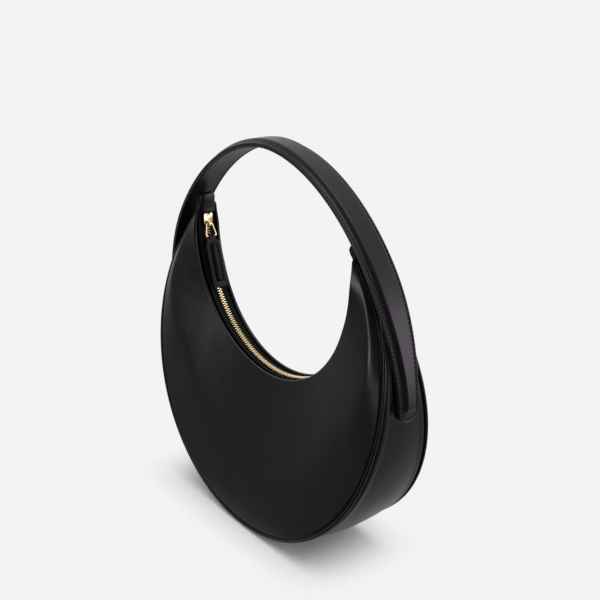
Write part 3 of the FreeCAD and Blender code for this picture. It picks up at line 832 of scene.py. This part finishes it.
STRAP_EDGES = edge_faces(PLY_ACROSS, 6)
for name, node, faces, drop in (
        ("strap_outer", "handle_outer", (strap_top, pad_lift), 0.0),
        ("strap_under", "handle_lining", (flat_face, flat_face), PLY + PLY_GAP)):
    rows = [strap_section(s, *faces, drop) for s in STRAP_STATIONS]
    ply = loft(name, rows, STRAP_LEATHER, paint=STRAP_EDGES, extra=(EDGE_PAINT,))
    dress(ply, "bag", "leather", node)

# %% Filler in the strap
FILLER_IN, FILLER_GAP, FILLER_THIN = 0.0004, 0.00008, 0.00001


def filler_section(s):
    c = strap_blank(s) - BORDER - FILLER_IN
    ys = np.linspace(-c, c, 25)
    top = [(y, max(pad_lift(s, y) - PLY - FILLER_GAP, -PLY - FILLER_THIN)) for y in ys]
    low = [(y, -PLY - FILLER_GAP + FILLER_THIN) for y in reversed(ys)]
    return on_strap(s, top + low)


filled = [s for s in STRAP_STATIONS if min(s, STRAP_LENGTH - s) > PAD_TIP + FILLER_IN]
filler = loft("strap_filler", [filler_section(s) for s in filled], FILLER)
dress(filler, "bag", "stiffener", "handle_core")

# %% Stitches round the strap
TURN_STARTS, TURN_RUN, STRAIGHT_STARTS = STRAP_STITCH_INSET + 0.00002, 0.0072, 0.0092
stitch_run = both_ends(np.concatenate([TURN_STARTS + np.linspace(0, 1, 30) ** 2 * TURN_RUN,
                                       np.linspace(STRAIGHT_STARTS, STRAP_LENGTH / 2, 200)]))


def strap_stitch_loop(out):
    loop = []
    for side in (1, -1):
        for s in stitch_run[::side]:
            y = side * strap_width(s, STRAP_STITCH_INSET)
            high = strap_top(s, y) + THREAD_PROUD if out else -2 * PLY - PLY_GAP - THREAD_PROUD
            loop += on_strap(s, [(y, high)])
    return loop


sew("strap_stitches", "bag", [strap_stitch_loop(out) for out in (True, False)],
    step=0.0031, length=0.0021, thread=0.0004, cyclic=True)

# %% [markdown]
# ## Zip tapes
# Each tape fills the mouth from the chain to its panel, a little below the lip. Its weave shows as
# fine ribs, so the strip carries a UV map in metres and the tape finish reads that. It is lofted
# like the leather, because its outer edge follows the panel, which is no circle.

# %% Weave the tapes
TAPE_HALF, TAPE_SAG, TAPE_NEAR, TAPE_CLEAR = 0.0004, 0.0006, 0.0013, 0.0002
TAPE_TUCK, TAPE_CUT, TAPE_ACROSS = 0.0018, 0.0018, 9
TAPE_END = HORN - swing(TAPE_CUT)


def tape_rows(angle, side):
    length = panel_frame(angle)[0]
    lip = panel_point(angle, min(TAPE_TUCK, 0.3 * length), -min(LIP_THICK, 0.35 * length), 1)[1]
    ys = np.linspace(TAPE_NEAR, lip - TAPE_CLEAR, TAPE_ACROSS)
    sag = [TAPE_SAG * math.sin(math.pi * i / (TAPE_ACROSS - 1)) for i in range(TAPE_ACROSS)]
    top, low = [[spoke(CHAIN_R + thick + d, angle, side * y) for y, d in zip(ys, sag)]
                for thick in (-TAPE_HALF, TAPE_HALF)]
    return top + low[::-1]


for name, side in SIDES:
    rows = [tape_rows(a, side) for a in np.linspace(-TAPE_END, TAPE_END, 161)]
    dress(loft(f"tape_{name}", rows, TAPE), "bag", "zip_tape", f"zip_tape_{name}")

# %% [markdown]
# ## Zip teeth
# A metal zip is one tooth repeated. The tooth is modelled once, at the left end of the zip, and a
# tree turns copies of it round the mouth's centre. The second row is half a pitch behind the first,
# so that the two mesh.

# %% One tooth
TOOTH_PITCH, TOOTH_HALF, TOOTH_BEVEL = 0.0024, 0.0011, 0.00016
TOOTH_STEP = TOOTH_PITCH / CHAIN_R
CAP_COVER, STOP_AFTER, SLIDER_AFTER, CHAIN_CUT = 0.0066, 0.00115, 0.0072, 0.033
SLIDER_RISE = math.radians(HORN - 90 - swing(CAP_COVER + STOP_AFTER + SLIDER_AFTER))
CHAIN_END = math.radians(HORN - swing(CHAIN_CUT))
TOOTH_COUNT = int((math.radians(90) + SLIDER_RISE + CHAIN_END) / TOOTH_STEP)


def tooth(name, side):
    """A small bevelled wedge with its root in the tape and its nose past the middle."""
    build = bmesh.new()
    outline = [(side * 0.0024, 0.00044), (side * 0.0010, 0.00050), (-side * 0.0007, 0.00036)]
    rim = outline + [(y, -z) for y, z in reversed(outline)]
    high, low = [[build.verts.new((-CHAIN_R + h, y, z)) for y, z in rim]
                 for h in (TOOTH_HALF, -TOOTH_HALF)]
    build.faces.new(high)
    build.faces.new(low[::-1])
    for i in range(len(rim)):
        k = (i + 1) % len(rim)
        build.faces.new((high[i], low[i], low[k], high[k]))
    bmesh.ops.bevel(build, geom=list(build.edges), offset=TOOTH_BEVEL, segments=1,
                    affect="EDGES", profile=0.5)
    return finish_mesh(name, build, GOLD, sharp=60.0)


print("teeth in a row", TOOTH_COUNT)

# %% Two rows of teeth
ROW = Growth("tooth_row", Count="Int", Step="Float", First="Float", Centre="Vector",
             Material="Material")
number = ROW.add("GeometryNodeInputIndex")["Index"]
spread = ROW.add("ShaderNodeMath", {"operation": "MULTIPLY_ADD"},
                 {0: number, 1: ROW.given("Step"), 2: ROW.given("First")})
turn = ROW.add("ShaderNodeCombineXYZ", None, {"Y": spread["Value"]})
seats = ROW.add("GeometryNodePoints", None,
                {"Count": ROW.given("Count"), "Position": ROW.given("Centre")})
teeth = ROW.add("GeometryNodeInstanceOnPoints", None,
                {"Points": seats[0], "Instance": ROW.given("Geometry"), "Rotation": turn["Vector"]})
ROW.finish(teeth["Instances"])

for (name, side), lead in zip(SIDES, (0.0, 0.5)):
    row = ROW.grow(f"teeth_{name}", tooth("one_tooth", side), Count=TOOTH_COUNT, Step=-TOOTH_STEP,
                   First=SLIDER_RISE - lead * TOOTH_STEP, Centre=(0, 0, MOUTH_Z), Material=GOLD)
    dress(row, "bag", "gold_metal", f"zip_teeth_{name}")

# %% [markdown]
# ## Slider
# The slider is a small casting: two shield plates joined by a post, flanges that hold the chain,
# and a bridge that the pull ring swings under. It is built in its own frame, where `up` climbs the
# zip and `out` stands off it into the mouth, then turned to its place on the chain. Its parts are
# bevelled blocks in one mesh: small edges that catch the light make it look cast.

# %% Frame of the slider and its blocks
PLATE_BEVEL, BAR_BEVEL = 0.0004, 0.0002


def on_slider(up, y, out):
    x, z = -CHAIN_R + out, up
    c, s = math.cos(SLIDER_RISE), math.sin(SLIDER_RISE)
    return (x * c + z * s, y, MOUTH_Z - x * s + z * c)


def block(build, rim, heights, bevel, segments, whole):
    """Block over a rim (up, y) between two heights off the chain, with bevelled edges."""
    lower, upper = [[build.verts.new(on_slider(u, y, h)) for u, y in rim] for h in heights]
    faces = [build.faces.new(lower[::-1]), build.faces.new(upper)]
    for i in range(len(rim)):
        k = (i + 1) % len(rim)
        faces.append(build.faces.new((lower[i], lower[k], upper[k], upper[i])))
    edges = dict.fromkeys(e for face in (faces if whole else faces[:2]) for e in face.edges)
    bmesh.ops.bevel(build, geom=list(edges), offset=bevel, segments=segments,
                    affect="EDGES", profile=0.5)


def bar(build, ups, ys, heights):
    rim = [(ups[0], ys[0]), (ups[1], ys[0]), (ups[1], ys[1]), (ups[0], ys[1])]
    block(build, rim, heights, BAR_BEVEL, 2, True)


print("slider sits at", [round(v, 4) for v in on_slider(0, 0, 0)])

# %% Plates, flanges and post
PLATE_UNDER, PLATE_TOP = 0.0015, 0.0028
FLANGE_NEAR, FLANGE_FAR = 0.00075, 0.0018
FLANGE_RUN, FLANGE_IN, FLANGE_OUT = (-0.0044, 0.0038), 0.0030, 0.0039
POST_RUN, POST_HALF = (0.0018, 0.0047), 0.0008
SHIELD = [(-0.0056, 0.0), (-0.0056, 0.0028), (-0.0051, 0.0036), (-0.0036, 0.0039),
          (-0.0010, 0.0040), (0.0010, 0.0043), (0.0030, 0.0046), (0.0046, 0.0045),
          (0.0054, 0.0038), (0.0056, 0.0026), (0.0052, 0.0013), (0.0048, 0.0)]
shield_rim = SHIELD + [(u, -y) for u, y in SHIELD[-2:0:-1]]
casting = bmesh.new()
for heights in ((PLATE_UNDER, PLATE_TOP), (-PLATE_TOP, -PLATE_UNDER)):
    block(casting, shield_rim, heights, PLATE_BEVEL, 3, False)
for side in (-1, 1):
    for heights in ((FLANGE_NEAR, FLANGE_FAR), (-FLANGE_FAR, -FLANGE_NEAR)):
        bar(casting, FLANGE_RUN, (side * FLANGE_IN, side * FLANGE_OUT), heights)
bar(casting, POST_RUN, (-POST_HALF, POST_HALF), (-FLANGE_FAR, FLANGE_FAR))
print("plates, flanges and post", len(casting.faces), "faces")

# %% Bridge
SET_BACK, BRIDGE_GAP, BRIDGE_ROOT = 0.0036, 0.00115, PLATE_TOP - 0.0003
BRIDGE_WIDE, BRIDGE_THICK = 0.0012, 0.0006
BRIDGE_LEG, BRIDGE_STANDS, BRIDGE_BEAM = 0.0007, 0.0013, 0.0005


def line_normals(line):
    """Unit normal of a flat line at each of its points."""
    normals = []
    for before, after in zip([line[0]] + line[:-1], line[1:] + [line[-1]]):
        du, dh = after[0] - before[0], after[1] - before[1]
        normals.append((-dh / math.hypot(du, dh), du / math.hypot(du, dh)))
    return normals


arch_line = [(-SET_BACK - (BRIDGE_GAP + BRIDGE_LEG) * math.cos(t),
              PLATE_TOP + BRIDGE_STANDS + (BRIDGE_GAP + BRIDGE_BEAM) * math.sin(t) ** 0.75)
             for t in np.linspace(0, math.pi, 13)]
arch_line = [(arch_line[0][0], BRIDGE_ROOT), *arch_line, (arch_line[-1][0], BRIDGE_ROOT)]
bridge_ring = [(BRIDGE_WIDE * signed_power(math.cos(t), 0.6),
                BRIDGE_THICK * signed_power(math.sin(t), 0.6))
               for t in np.linspace(0, 2 * math.pi, 17)[:-1]]
loft_into(casting, [[on_slider(u + nu * n, y, h + nh * n) for y, n in bridge_ring]
                    for (u, h), (nu, nh) in zip(arch_line, line_normals(arch_line))])
slider = finish_mesh("slider_casting", casting, GOLD, sharp=35.0)
dress(slider, "slider", "gold_metal", "zip_slider")

# %% [markdown]
# ## Pull ring
# A splayed wire ring hangs from the bridge and carries the leather puller. Its line is a trapezoid
# with rounded corners. A torus could be squashed into it, but then the wire would change its
# thickness, so the same cord tree as for the welts sweeps it along the line.

# %% Frame of the puller
PULL_LEAN = math.radians(19.0)
RING_LENGTH, WIRE = 0.0104, 0.00075
RING_TOP, RING_FOOT, RING_CORNER = 0.0028, 0.0050, 0.0011
BAR_OUT = PLATE_TOP + WIRE + 0.0004
PIVOT = Vector(on_slider(-SET_BACK, 0, BAR_OUT))
lean = PULL_LEAN - SLIDER_RISE
PULL_DOWN = Vector((math.sin(lean), 0, -math.cos(lean)))
PULL_FACE = Vector((math.cos(lean), 0, math.sin(lean)))


def on_puller(u, y, v):
    """Point from a distance down the puller, across it and off its face."""
    return tuple(PIVOT + PULL_DOWN * u + PULL_FACE * v + Vector((0, y, 0)))


print("ring hangs from", [round(v, 4) for v in PIVOT])


# %% Bend the ring
def rounded(corners, radius, steps=6):
    """Closed line through corners with arcs of about one radius."""
    line = []
    for i in range(len(corners)):
        here, before, after = (np.array(corners[k % len(corners)]) for k in (i, i - 1, i + 1))
        a, b = here - before, after - here
        cut = min(radius, 0.45 * np.linalg.norm(a), 0.45 * np.linalg.norm(b))
        start, end = here - a / np.linalg.norm(a) * cut, here + b / np.linalg.norm(b) * cut
        for t in np.linspace(0, 1, steps):
            line.append((1 - t) ** 2 * start + 2 * t * (1 - t) * here + t * t * end)
    return line


trapezoid = [(0.0, -RING_TOP), (0.0, RING_TOP), (RING_LENGTH, RING_FOOT), (RING_LENGTH, -RING_FOOT)]
ring_line = [on_puller(u, y, 0.0) for u, y in rounded(trapezoid, RING_CORNER)]
ring = CORD.grow("pull_wire", path("ring_line", [ring_line], cyclic=True),
                 Radius=WIRE, Sides=14, Material=GOLD)
dress(ring, "ring", "gold_metal", "pull_ring")

# %% [markdown]
# ## Puller
# A narrow leather tab is folded round the foot of the ring. Its face has a padded ridge like the
# strap's and a stitched rim; its end is cut square with small round corners. The two faces and the
# fold are lofted apart and share one mesh, because a single loft can't both widen at the shoulders
# and turn round the wire.

# %% Shape of the tab
TAB_TOP, TAB_END = RING_LENGTH + 0.0026, RING_LENGTH + 0.045
TAB_NECK, TAB_WIDE, TAB_HALF, TAB_PLY = 0.0032, 0.0065, 0.0012, 0.00112
SHOULDER_TOP, SHOULDER_FOOT, TAB_CORNER = RING_LENGTH + 0.0028, RING_LENGTH + 0.0064, 0.0014
TAB_PAD, TAB_FLANK, TAB_PAD_SOFT = 0.0014, 0.0021, 0.06
PAD_FROM, PAD_FULL, PAD_SLIM, PAD_WIDENS = RING_LENGTH + 0.0040, RING_LENGTH + 0.010, 0.0012, 0.0021
TAB_GROOVE, TAB_GROOVE_OUT, TAB_GROOVE_WIDE = 0.00055, 0.0002, 0.00045
TAB_ENDS_SOFT, PAD_STOPS, GROOVE_FROM, GROOVE_STOPS = 0.0020, 0.0046, RING_LENGTH + 0.0050, 0.0044


def tab_width(u, inset=0.0):
    wide = TAB_NECK + (TAB_WIDE - TAB_NECK) * ease(u, SHOULDER_TOP, SHOULDER_FOOT)
    near = TAB_END - inset - u
    if near < TAB_CORNER:
        wide -= TAB_CORNER - math.sqrt(max(0.0, TAB_CORNER ** 2 - (TAB_CORNER - near) ** 2))
    return wide - inset


def tab_ridge(u):
    """Half width of the padded ridge."""
    return PAD_SLIM + PAD_WIDENS * ease(u, PAD_FROM, PAD_FULL)


def tab_lift(u, y):
    """Padded ridge down the middle of the tab."""
    end = min(u - PAD_FROM, TAB_END - PAD_STOPS - u)
    side = soft_ramp((tab_ridge(u) - abs(y)) / TAB_FLANK, TAB_PAD_SOFT)
    return TAB_PAD * max(0.0, side) * ease(end, 0.0, TAB_ENDS_SOFT)


def tab_face(u, y):
    """Outer face of the tab: its ridge, with a groove beside it."""
    end = min(u - GROOVE_FROM, TAB_END - GROOVE_STOPS - u)
    groove = swell(abs(y), TAB_GROOVE, tab_ridge(u) + TAB_GROOVE_OUT, TAB_GROOVE_WIDE)
    return TAB_HALF + tab_lift(u, y) - groove * ease(end, 0.0, TAB_ENDS_SOFT)


print("tab length", round(TAB_END - TAB_TOP, 4), "half width", TAB_WIDE)

# %% Two faces of the tab
TAB_ACROSS, TAB_EDGE_R, TAB_MEET = 41, 0.0004, 0.00006
TAB_EDGES = edge_faces(TAB_ACROSS, 4)
STRAIGHT_STOPS = TAB_END - 0.0016
tab_stations = list(np.linspace(TAB_TOP, STRAIGHT_STOPS, 76))
tab_stations += [TAB_END - TAB_CORNER * (1 - math.sin(math.radians(t)))
                 for t in (0, 20, 40, 58, 74, 85, 90)]


def tab_section(u, face):
    """Closed section of one ply of the tab: its outer face, a round edge, then its inner face."""
    w, r = tab_width(u), TAB_EDGE_R
    ys = [(w - r) * t for t in np.linspace(-1, 1, TAB_ACROSS)]
    edge = [(w - r + r * math.cos(t), TAB_HALF - r + r * math.sin(t))
            for t in map(math.radians, (70, 35, 0))]
    edge.append((w, TAB_MEET))
    under = [(y, max(TAB_MEET, TAB_HALF + tab_lift(u, y) - TAB_PLY)) for y in reversed(ys)]
    ring = [(y, tab_face(u, y)) for y in ys] + edge + under + [(-y, v) for y, v in reversed(edge)]
    return [on_puller(u, y, face * v) for y, v in ring]


leather_tab = bmesh.new()
for face in (1, -1):
    loft_into(leather_tab, [tab_section(u, face) for u in tab_stations], TAB_EDGES)
print("faces of the tab", len(leather_tab.faces))

# %% Fold round the ring
BEND, FOLD_PLY, FOLD_FLAT, FOLD_EDGE = 0.00142, 0.00052, 0.00085, 0.0003
FOLD_NARROWS, FOLD_ROUND = RING_LENGTH + 0.0020, 0.0046
bend = [(RING_LENGTH - BEND * math.sin(t), BEND * math.cos(t))
        for t in map(math.radians, range(-40, 221, 13))]
fold = [(SHOULDER_FOOT, FOLD_FLAT), *bend, (SHOULDER_FOOT, -FOLD_FLAT)]
fold_rows = []
for (u, v), (nu, nv) in zip(fold, line_normals(fold)):
    w = TAB_NECK * math.sqrt(1 - (max(0.0, FOLD_NARROWS - u) / FOLD_ROUND) ** 2)
    rim = ((-w, -0.5), (-w, 0.5), (-w + FOLD_EDGE, 1), (-0.4 * w, 1.25), (0.4 * w, 1.25),
           (w - FOLD_EDGE, 1), (w, 0.5), (w, -0.5), (w - FOLD_EDGE, -1), (-w + FOLD_EDGE, -1))
    fold_rows.append([on_puller(u + nu * FOLD_PLY * k, y, v + nv * FOLD_PLY * k) for y, k in rim])
loft_into(leather_tab, fold_rows)
puller = finish_mesh("pull_leather", leather_tab, TAB_LEATHER, extra=(EDGE_PAINT,))
dress(puller, "puller", "leather", "pull_tab")

# %% Filler in the tab
TAB_FILL_HALF, TAB_FILL_GAP, TAB_FILL_THIN, TAB_FILL_END = 0.0027, 0.00004, 0.00003, 0.0066


def tab_filler_section(u):
    inside = TAB_HALF - TAB_PLY - TAB_FILL_GAP
    high = [(y, max(TAB_FILL_THIN, inside + tab_lift(u, y)))
            for y in np.linspace(-TAB_FILL_HALF, TAB_FILL_HALF, 15)]
    return [on_puller(u, y, v) for y, v in high + [(y, -v) for y, v in reversed(high)]]


tab_filled = [u for u in tab_stations if PAD_FULL < u < TAB_END - TAB_FILL_END]
tab_filler = loft("pull_filler", [tab_filler_section(u) for u in tab_filled], FILLER)
dress(tab_filler, "puller", "stiffener", "pull_tab_core")

# %% Stitches round the tab
RIM, TAB_THREAD_PROUD = 0.0013, 0.00008
SEWN_FROM, SEWN_TO = RING_LENGTH + 0.0066, TAB_END - RIM - 0.0001


def tab_stitch_loop(face):
    side = [(u, tab_width(u, RIM)) for u in np.linspace(SEWN_FROM, SEWN_TO, 60)]
    line = side + [(u, -y) for u, y in reversed(side)]
    return [on_puller(u, y, face * (tab_face(u, y) + TAB_THREAD_PROUD)) for u, y in line]


sew("pull_stitches", "puller", [tab_stitch_loop(face) for face in (1, -1)],
    step=0.0023, length=0.0016, thread=0.00032)

# %% [markdown]
# ## Caps at the ends of the zip
# A short strip of leather is folded over the tip of each horn and hides where the zip ends. The
# fold is drawn as a smooth line in the side view and given a rounded section, since a bent box
# would crease at its corners. Its top stands up a little, and the right one also leans inward and
# forward, as the photograph shows.

# %% Line of a cap
CAP_LEG_R, CAP_LEG_OPENS, CAP_STANDS, CAP_CREST = CHAIN_R - 0.00145, 0.0005, 0.0028, 0.62
CAP_START, CAP_TOP, CAP_FOOT = HORN - swing(0.0086), HORN + swing(0.0020), HORN - swing(0.0072)


def cap_points():
    """Corner points of the fold on the right horn: along the zip, over the tip, down the seam."""
    inner = [spoke(CAP_LEG_R - CAP_LEG_OPENS, CAP_START)]
    inner += [spoke(CAP_LEG_R, a) for a in ((CAP_START + HORN) / 2, HORN, CAP_TOP)]
    outer = []
    for a in (CAP_TOP, HORN, (HORN + CAP_FOOT) / 2, CAP_FOOT):
        x, _, z = spoke(seam_radius(a), a)
        nx, nz = seam_normal(x, z)
        outer.append((x + nx * CAP_STANDS, 0.0, z + nz * CAP_STANDS))
    first, last = np.array(inner[-1]), np.array(outer[0])
    across = last - first
    crest = (first + last) / 2 + np.array([-across[2], 0.0, across[0]]) * CAP_CREST
    return [np.array(p) for p in (*inner, crest, *outer)]


def smooth_line(points, steps):
    """Smooth line through all the points, with its ends held."""
    held = [2 * points[0] - points[1], *points, 2 * points[-1] - points[-2]]
    line = []
    for p0, p1, p2, p3 in zip(held, held[1:], held[2:], held[3:]):
        for t in np.linspace(0, 1, steps, endpoint=False):
            line.append(0.5 * (2 * p1 + (p2 - p0) * t + (2 * p0 - 5 * p1 + 4 * p2 - p3) * t ** 2
                               + (3 * p1 - p0 - 3 * p2 + p3) * t ** 3))
    return line + [points[-1]]


cap_line = smooth_line(cap_points(), 8)
print("cap line", len(cap_line), "points up to", round(max(p[2] for p in cap_line), 4))

# %% Fold the caps
CAP_W, CAP_T, CAP_CROWN = 0.0070, 0.0012, 0.0017
CAP_LIFT, LIFT_FROM, LIFT_FULL = 0.0020, 0.2480, 0.2560
CAP_AROUND = 40
CAP_EDGES = {k for k in range(CAP_AROUND) if (k + 3) % (CAP_AROUND // 2) < 6}


def cap_rows(side):
    rows, last = [], len(cap_line) - 1
    for i, p in enumerate(cap_line):
        step = cap_line[min(i + 1, last)] - cap_line[max(i - 1, 0)]
        n = np.array([-step[2], 0, step[0]]) / np.linalg.norm(step)
        thick = CAP_T * min(1.0, 0.55 + 0.45 * min(i, last - i) / 3)
        wide = CAP_W * (1 - 0.16 * max(0.0, n[2]))
        ring = []
        for t in np.linspace(0, 2 * math.pi, CAP_AROUND + 1)[:-1]:
            y = wide * signed_power(math.cos(t), 0.45)
            h = thick * signed_power(math.sin(t), 0.6)
            q = p + n * (h + CAP_CROWN * (0.6 - (y / wide) ** 4))
            lift = CAP_LIFT * ease(q[2], LIFT_FROM, LIFT_FULL)
            tilt = lift if side > 0 else 0.0
            ring.append((side * (q[0] - tilt), y - tilt, q[2] + lift))
        rows.append(ring)
    return rows


for name, side in (("right", 1), ("left", -1)):
    cap = loft(f"cap_{name}", cap_rows(side), CAP_LEATHER, paint=CAP_EDGES, extra=(EDGE_PAINT,))
    dress(cap, "bag", "leather", f"zip_end_cap_{name}")

# %% [markdown]
# ## Inside
# A cloth lining hangs behind the leather, with a slip pocket on the back. With the zip closed they
# are out of sight, but they are there when the pieces are taken apart. They follow the leather's own
# lines at a small distance, with a little slack, so that they stay behind it.

# %% Sections of the lining
CLOTH, CLOTH_GAP, SLACK, CLOTH_ACROSS = 0.0008, 0.0004, 0.0006, 24
BAND_DROP, BAND_CLEAR = 0.0036, 0.009


def lining_rows(angle, side, drop, cuts):
    """Cloth behind a panel, from a distance off the mouth to a distance off the seam."""
    length, last = panel_frame(angle)[0], CLOTH_ACROSS - 1
    face = []
    for i, d in enumerate(np.linspace(cuts[0], length - cuts[1], CLOTH_ACROSS)):
        wave = SLACK * math.sin(i * 1.7 + angle * 0.31) * math.sin(math.pi * i / last)
        face.append((d, panel_crown(angle, d) - drop - CLOTH_GAP + wave))
    both = face + [(d, h - CLOTH) for d, h in reversed(face)]
    return [panel_point(angle, d, h, side) for d, h in both]


def band_lining_rows(angle):
    """Cloth over the side band, flat where the bag stands."""
    reach = seam_depth(angle) - BAND_CLEAR
    face = [(band_height(angle, y) - BAND_DROP, y, BAND_DROP)
            for y in np.linspace(-reach, reach, CLOTH_ACROSS)]
    return on_band(angle, face + [(h - CLOTH, y, low + CLOTH) for h, y, low in reversed(face)])


print("points in a section of the lining", len(band_lining_rows(0.0)))

# %% Hang the lining and the pocket
LINING_DROP, LINING_CUTS, LINING_END = 0.0023, (0.0036, 0.008), 78.9
POCKET_DROP, POCKET_CUTS, POCKET_END, BAND_LINING_END = 0.0040, (0.028, 0.038), 26.5, 66.2
for name, side in SIDES:
    rows = [lining_rows(a, side, LINING_DROP, LINING_CUTS)
            for a in np.linspace(-LINING_END, LINING_END, 121)]
    dress(loft(f"cloth_{name}", rows, LINING), "bag", "lining_cloth", f"lining_{name}")
rows = [band_lining_rows(a) for a in np.linspace(-BAND_LINING_END, BAND_LINING_END, 101)]
dress(loft("cloth_band", rows, LINING), "bag", "lining_cloth", "lining_gusset")
rows = [lining_rows(a, 1, POCKET_DROP, POCKET_CUTS) for a in np.linspace(-POCKET_END, POCKET_END, 61)]
dress(loft("cloth_pocket", rows, LINING), "bag", "lining_cloth", "inner_pocket")

# %% [markdown]
# ## CAD pieces that stay
# The stops at the ends of the zip and the board in the foot are already the right shape, so they
# keep their CAD meshes and only take a finish.

# %% Finish the kept nodes
for node, finish in (("zip_top_stops", GOLD), ("zip_bottom_stop", GOLD), ("base_board", FILLER)):
    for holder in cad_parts[node].material_slots:
        holder.material = finish
    print(node, "takes", finish.name)

# %% [markdown]
# ## Studio
# The picture is taken on a pale sweep with large soft lights. Smooth dark leather shows mostly what
# it reflects, so the room matters more than the lamps: it is pale behind, above and at the sides of
# the bag, nearly black straight ahead of it and grey ahead to the left. That keeps the front panel
# deep and lets the side band and the strap shine. For the camera the sky has the floor's own tone,
# and the floor fades out round the shadow, so it has no visible end.

# %% Floor
PALE = (0.895, 0.895, 0.895, 1)
FLOOR_LOW = -0.0004
SHADOW_SHIFT = (0.015, 0.0, 0.0)
FADES = (("X", 0.07, 0.145), ("Y", 0.032, 0.075))
ground = Finish("pale_floor")
cloudy = ground.noise(ground.place(), 1.2)
moved = ground.add("ShaderNodeVectorMath", {"operation": "ADD"}, {0: ground.place(), 1: SHADOW_SHIFT})
spot = ground.add("ShaderNodeVectorMath", {"operation": "ABSOLUTE"}, {0: moved})
wide, deep = [1 - ground.ramp(ground.add("ShaderNodeSeparateXYZ", None, {0: spot}, out=axis),
                              near, far) for axis, near, far in FADES]
FLOOR = ground.surface(Base_Color=ground.between(cloudy, (0.865, 0.865, 0.865, 1),
                                                 (0.875, 0.875, 0.875, 1)),
                       Roughness=0.9, Specular_IOR_Level=0.0, Alpha=wide * deep)
plane = bmesh.new()
bmesh.ops.create_grid(plane, x_segments=2, y_segments=2, size=0.6)
floor = finish_mesh("floor", plane, FLOOR)
for vertex in floor.data.vertices:
    vertex.co.z = FLOOR_LOW
print("floor", FLOOR.name)

# %% Sky
BEHIND, AHEAD_LEFT = (0.05, 0.95, 0.30), (-0.966, -0.259, 0.0)
AHEAD_DARK, AHEAD_GREY, ROOM = (0.03, 0.03, 0.031, 1), (0.28, 0.28, 0.28, 1), (0.62, 0.62, 0.62, 1)
DARK_TO_PALE, DARK_TO_GREY = (-0.55, 0.0), (0.68, 0.92)
LOW_TO_HIGH, LOW_SHARE = (-0.35, 0.05), 0.5
world = bpy.data.worlds.new("studio")
bpy.context.scene.world = world
world.use_nodes = True
sky = Finish("studio", world.node_tree)
camera_ray, glossy_ray, through_ray = [sky.add("ShaderNodeLightPath", out=f"Is {kind} Ray")
                                       for kind in ("Camera", "Glossy", "Transmission")]
towards = sky.add("ShaderNodeTexCoord", out="Generated")
facing, aside = [sky.add("ShaderNodeVectorMath", {"operation": "DOT_PRODUCT"},
                         {0: towards, 1: way}, out="Value") for way in (BEHIND, AHEAD_LEFT)]
upward = sky.add("ShaderNodeSeparateXYZ", None, {0: towards}, out="Z")
bright = sky.ramp(facing, *DARK_TO_PALE) * sky.ramp(upward, *LOW_TO_HIGH, LOW_SHARE)
ahead = sky.between(sky.ramp(aside, *DARK_TO_GREY), AHEAD_DARK, AHEAD_GREY)
seen = sky.between(glossy_ray, PALE, sky.between(bright, ahead, PALE))
tone = sky.between(camera_ray.largest(glossy_ray).largest(through_ray), ROOM, seen)
glow = sky.add("ShaderNodeBackground", None, {"Color": tone, "Strength": 1.0})
sky.add("ShaderNodeOutputWorld", None, {"Surface": glow})
print("sky", world.name)


# %% Lamps
def sun(name, strength, spread, towards):
    lamp = bpy.data.lights.new(name, "SUN")
    lamp.energy, lamp.angle = strength, math.radians(spread)
    holder = bpy.data.objects.new(name, lamp)
    holder.rotation_euler = Vector(towards).to_track_quat("-Z", "Y").to_euler()
    bpy.context.collection.objects.link(holder)
    print("lamp", name)


sun("overhead_softbox", 1.35, 50.0, (-0.12, 0.10, -1.0))
sun("edge_strip", 0.42, 10.0, (0.35, 0.935, -0.02))
sun("side_softbox", 1.1, 40.0, (-0.80, -0.58, -0.12))

# %% [markdown]
# ## Camera
# The photograph looks at the front and the right end of the bag from a little above. The camera
# stands back along `BACK` and its frame is square. A target to look at would be shorter to write,
# but these three directions were fitted to the picture, so they are given as they are.

# %% Camera
CAMERA_AT = (0.6031, -0.4303, 0.4479)
BACK, RIGHT, UP = (0.7557, -0.5676, 0.3267), (0.6005, 0.7996, 0.0), (-0.2612, 0.1962, 0.9451)
lens = bpy.data.cameras.new("camera")
lens.lens, lens.sensor_width, lens.sensor_height = 58.83, 36.0, 36.0
lens.sensor_fit, lens.clip_end = "HORIZONTAL", 200.0
camera = bpy.data.objects.new("camera", lens)
turned = Matrix((RIGHT, UP, BACK)).transposed()
camera.matrix_world = Matrix.Translation(CAMERA_AT) @ turned.to_4x4()
bpy.context.collection.objects.link(camera)
bpy.context.scene.camera = camera
bpy.context.scene.view_settings.view_transform = "Standard"
print("camera at", CAMERA_AT)
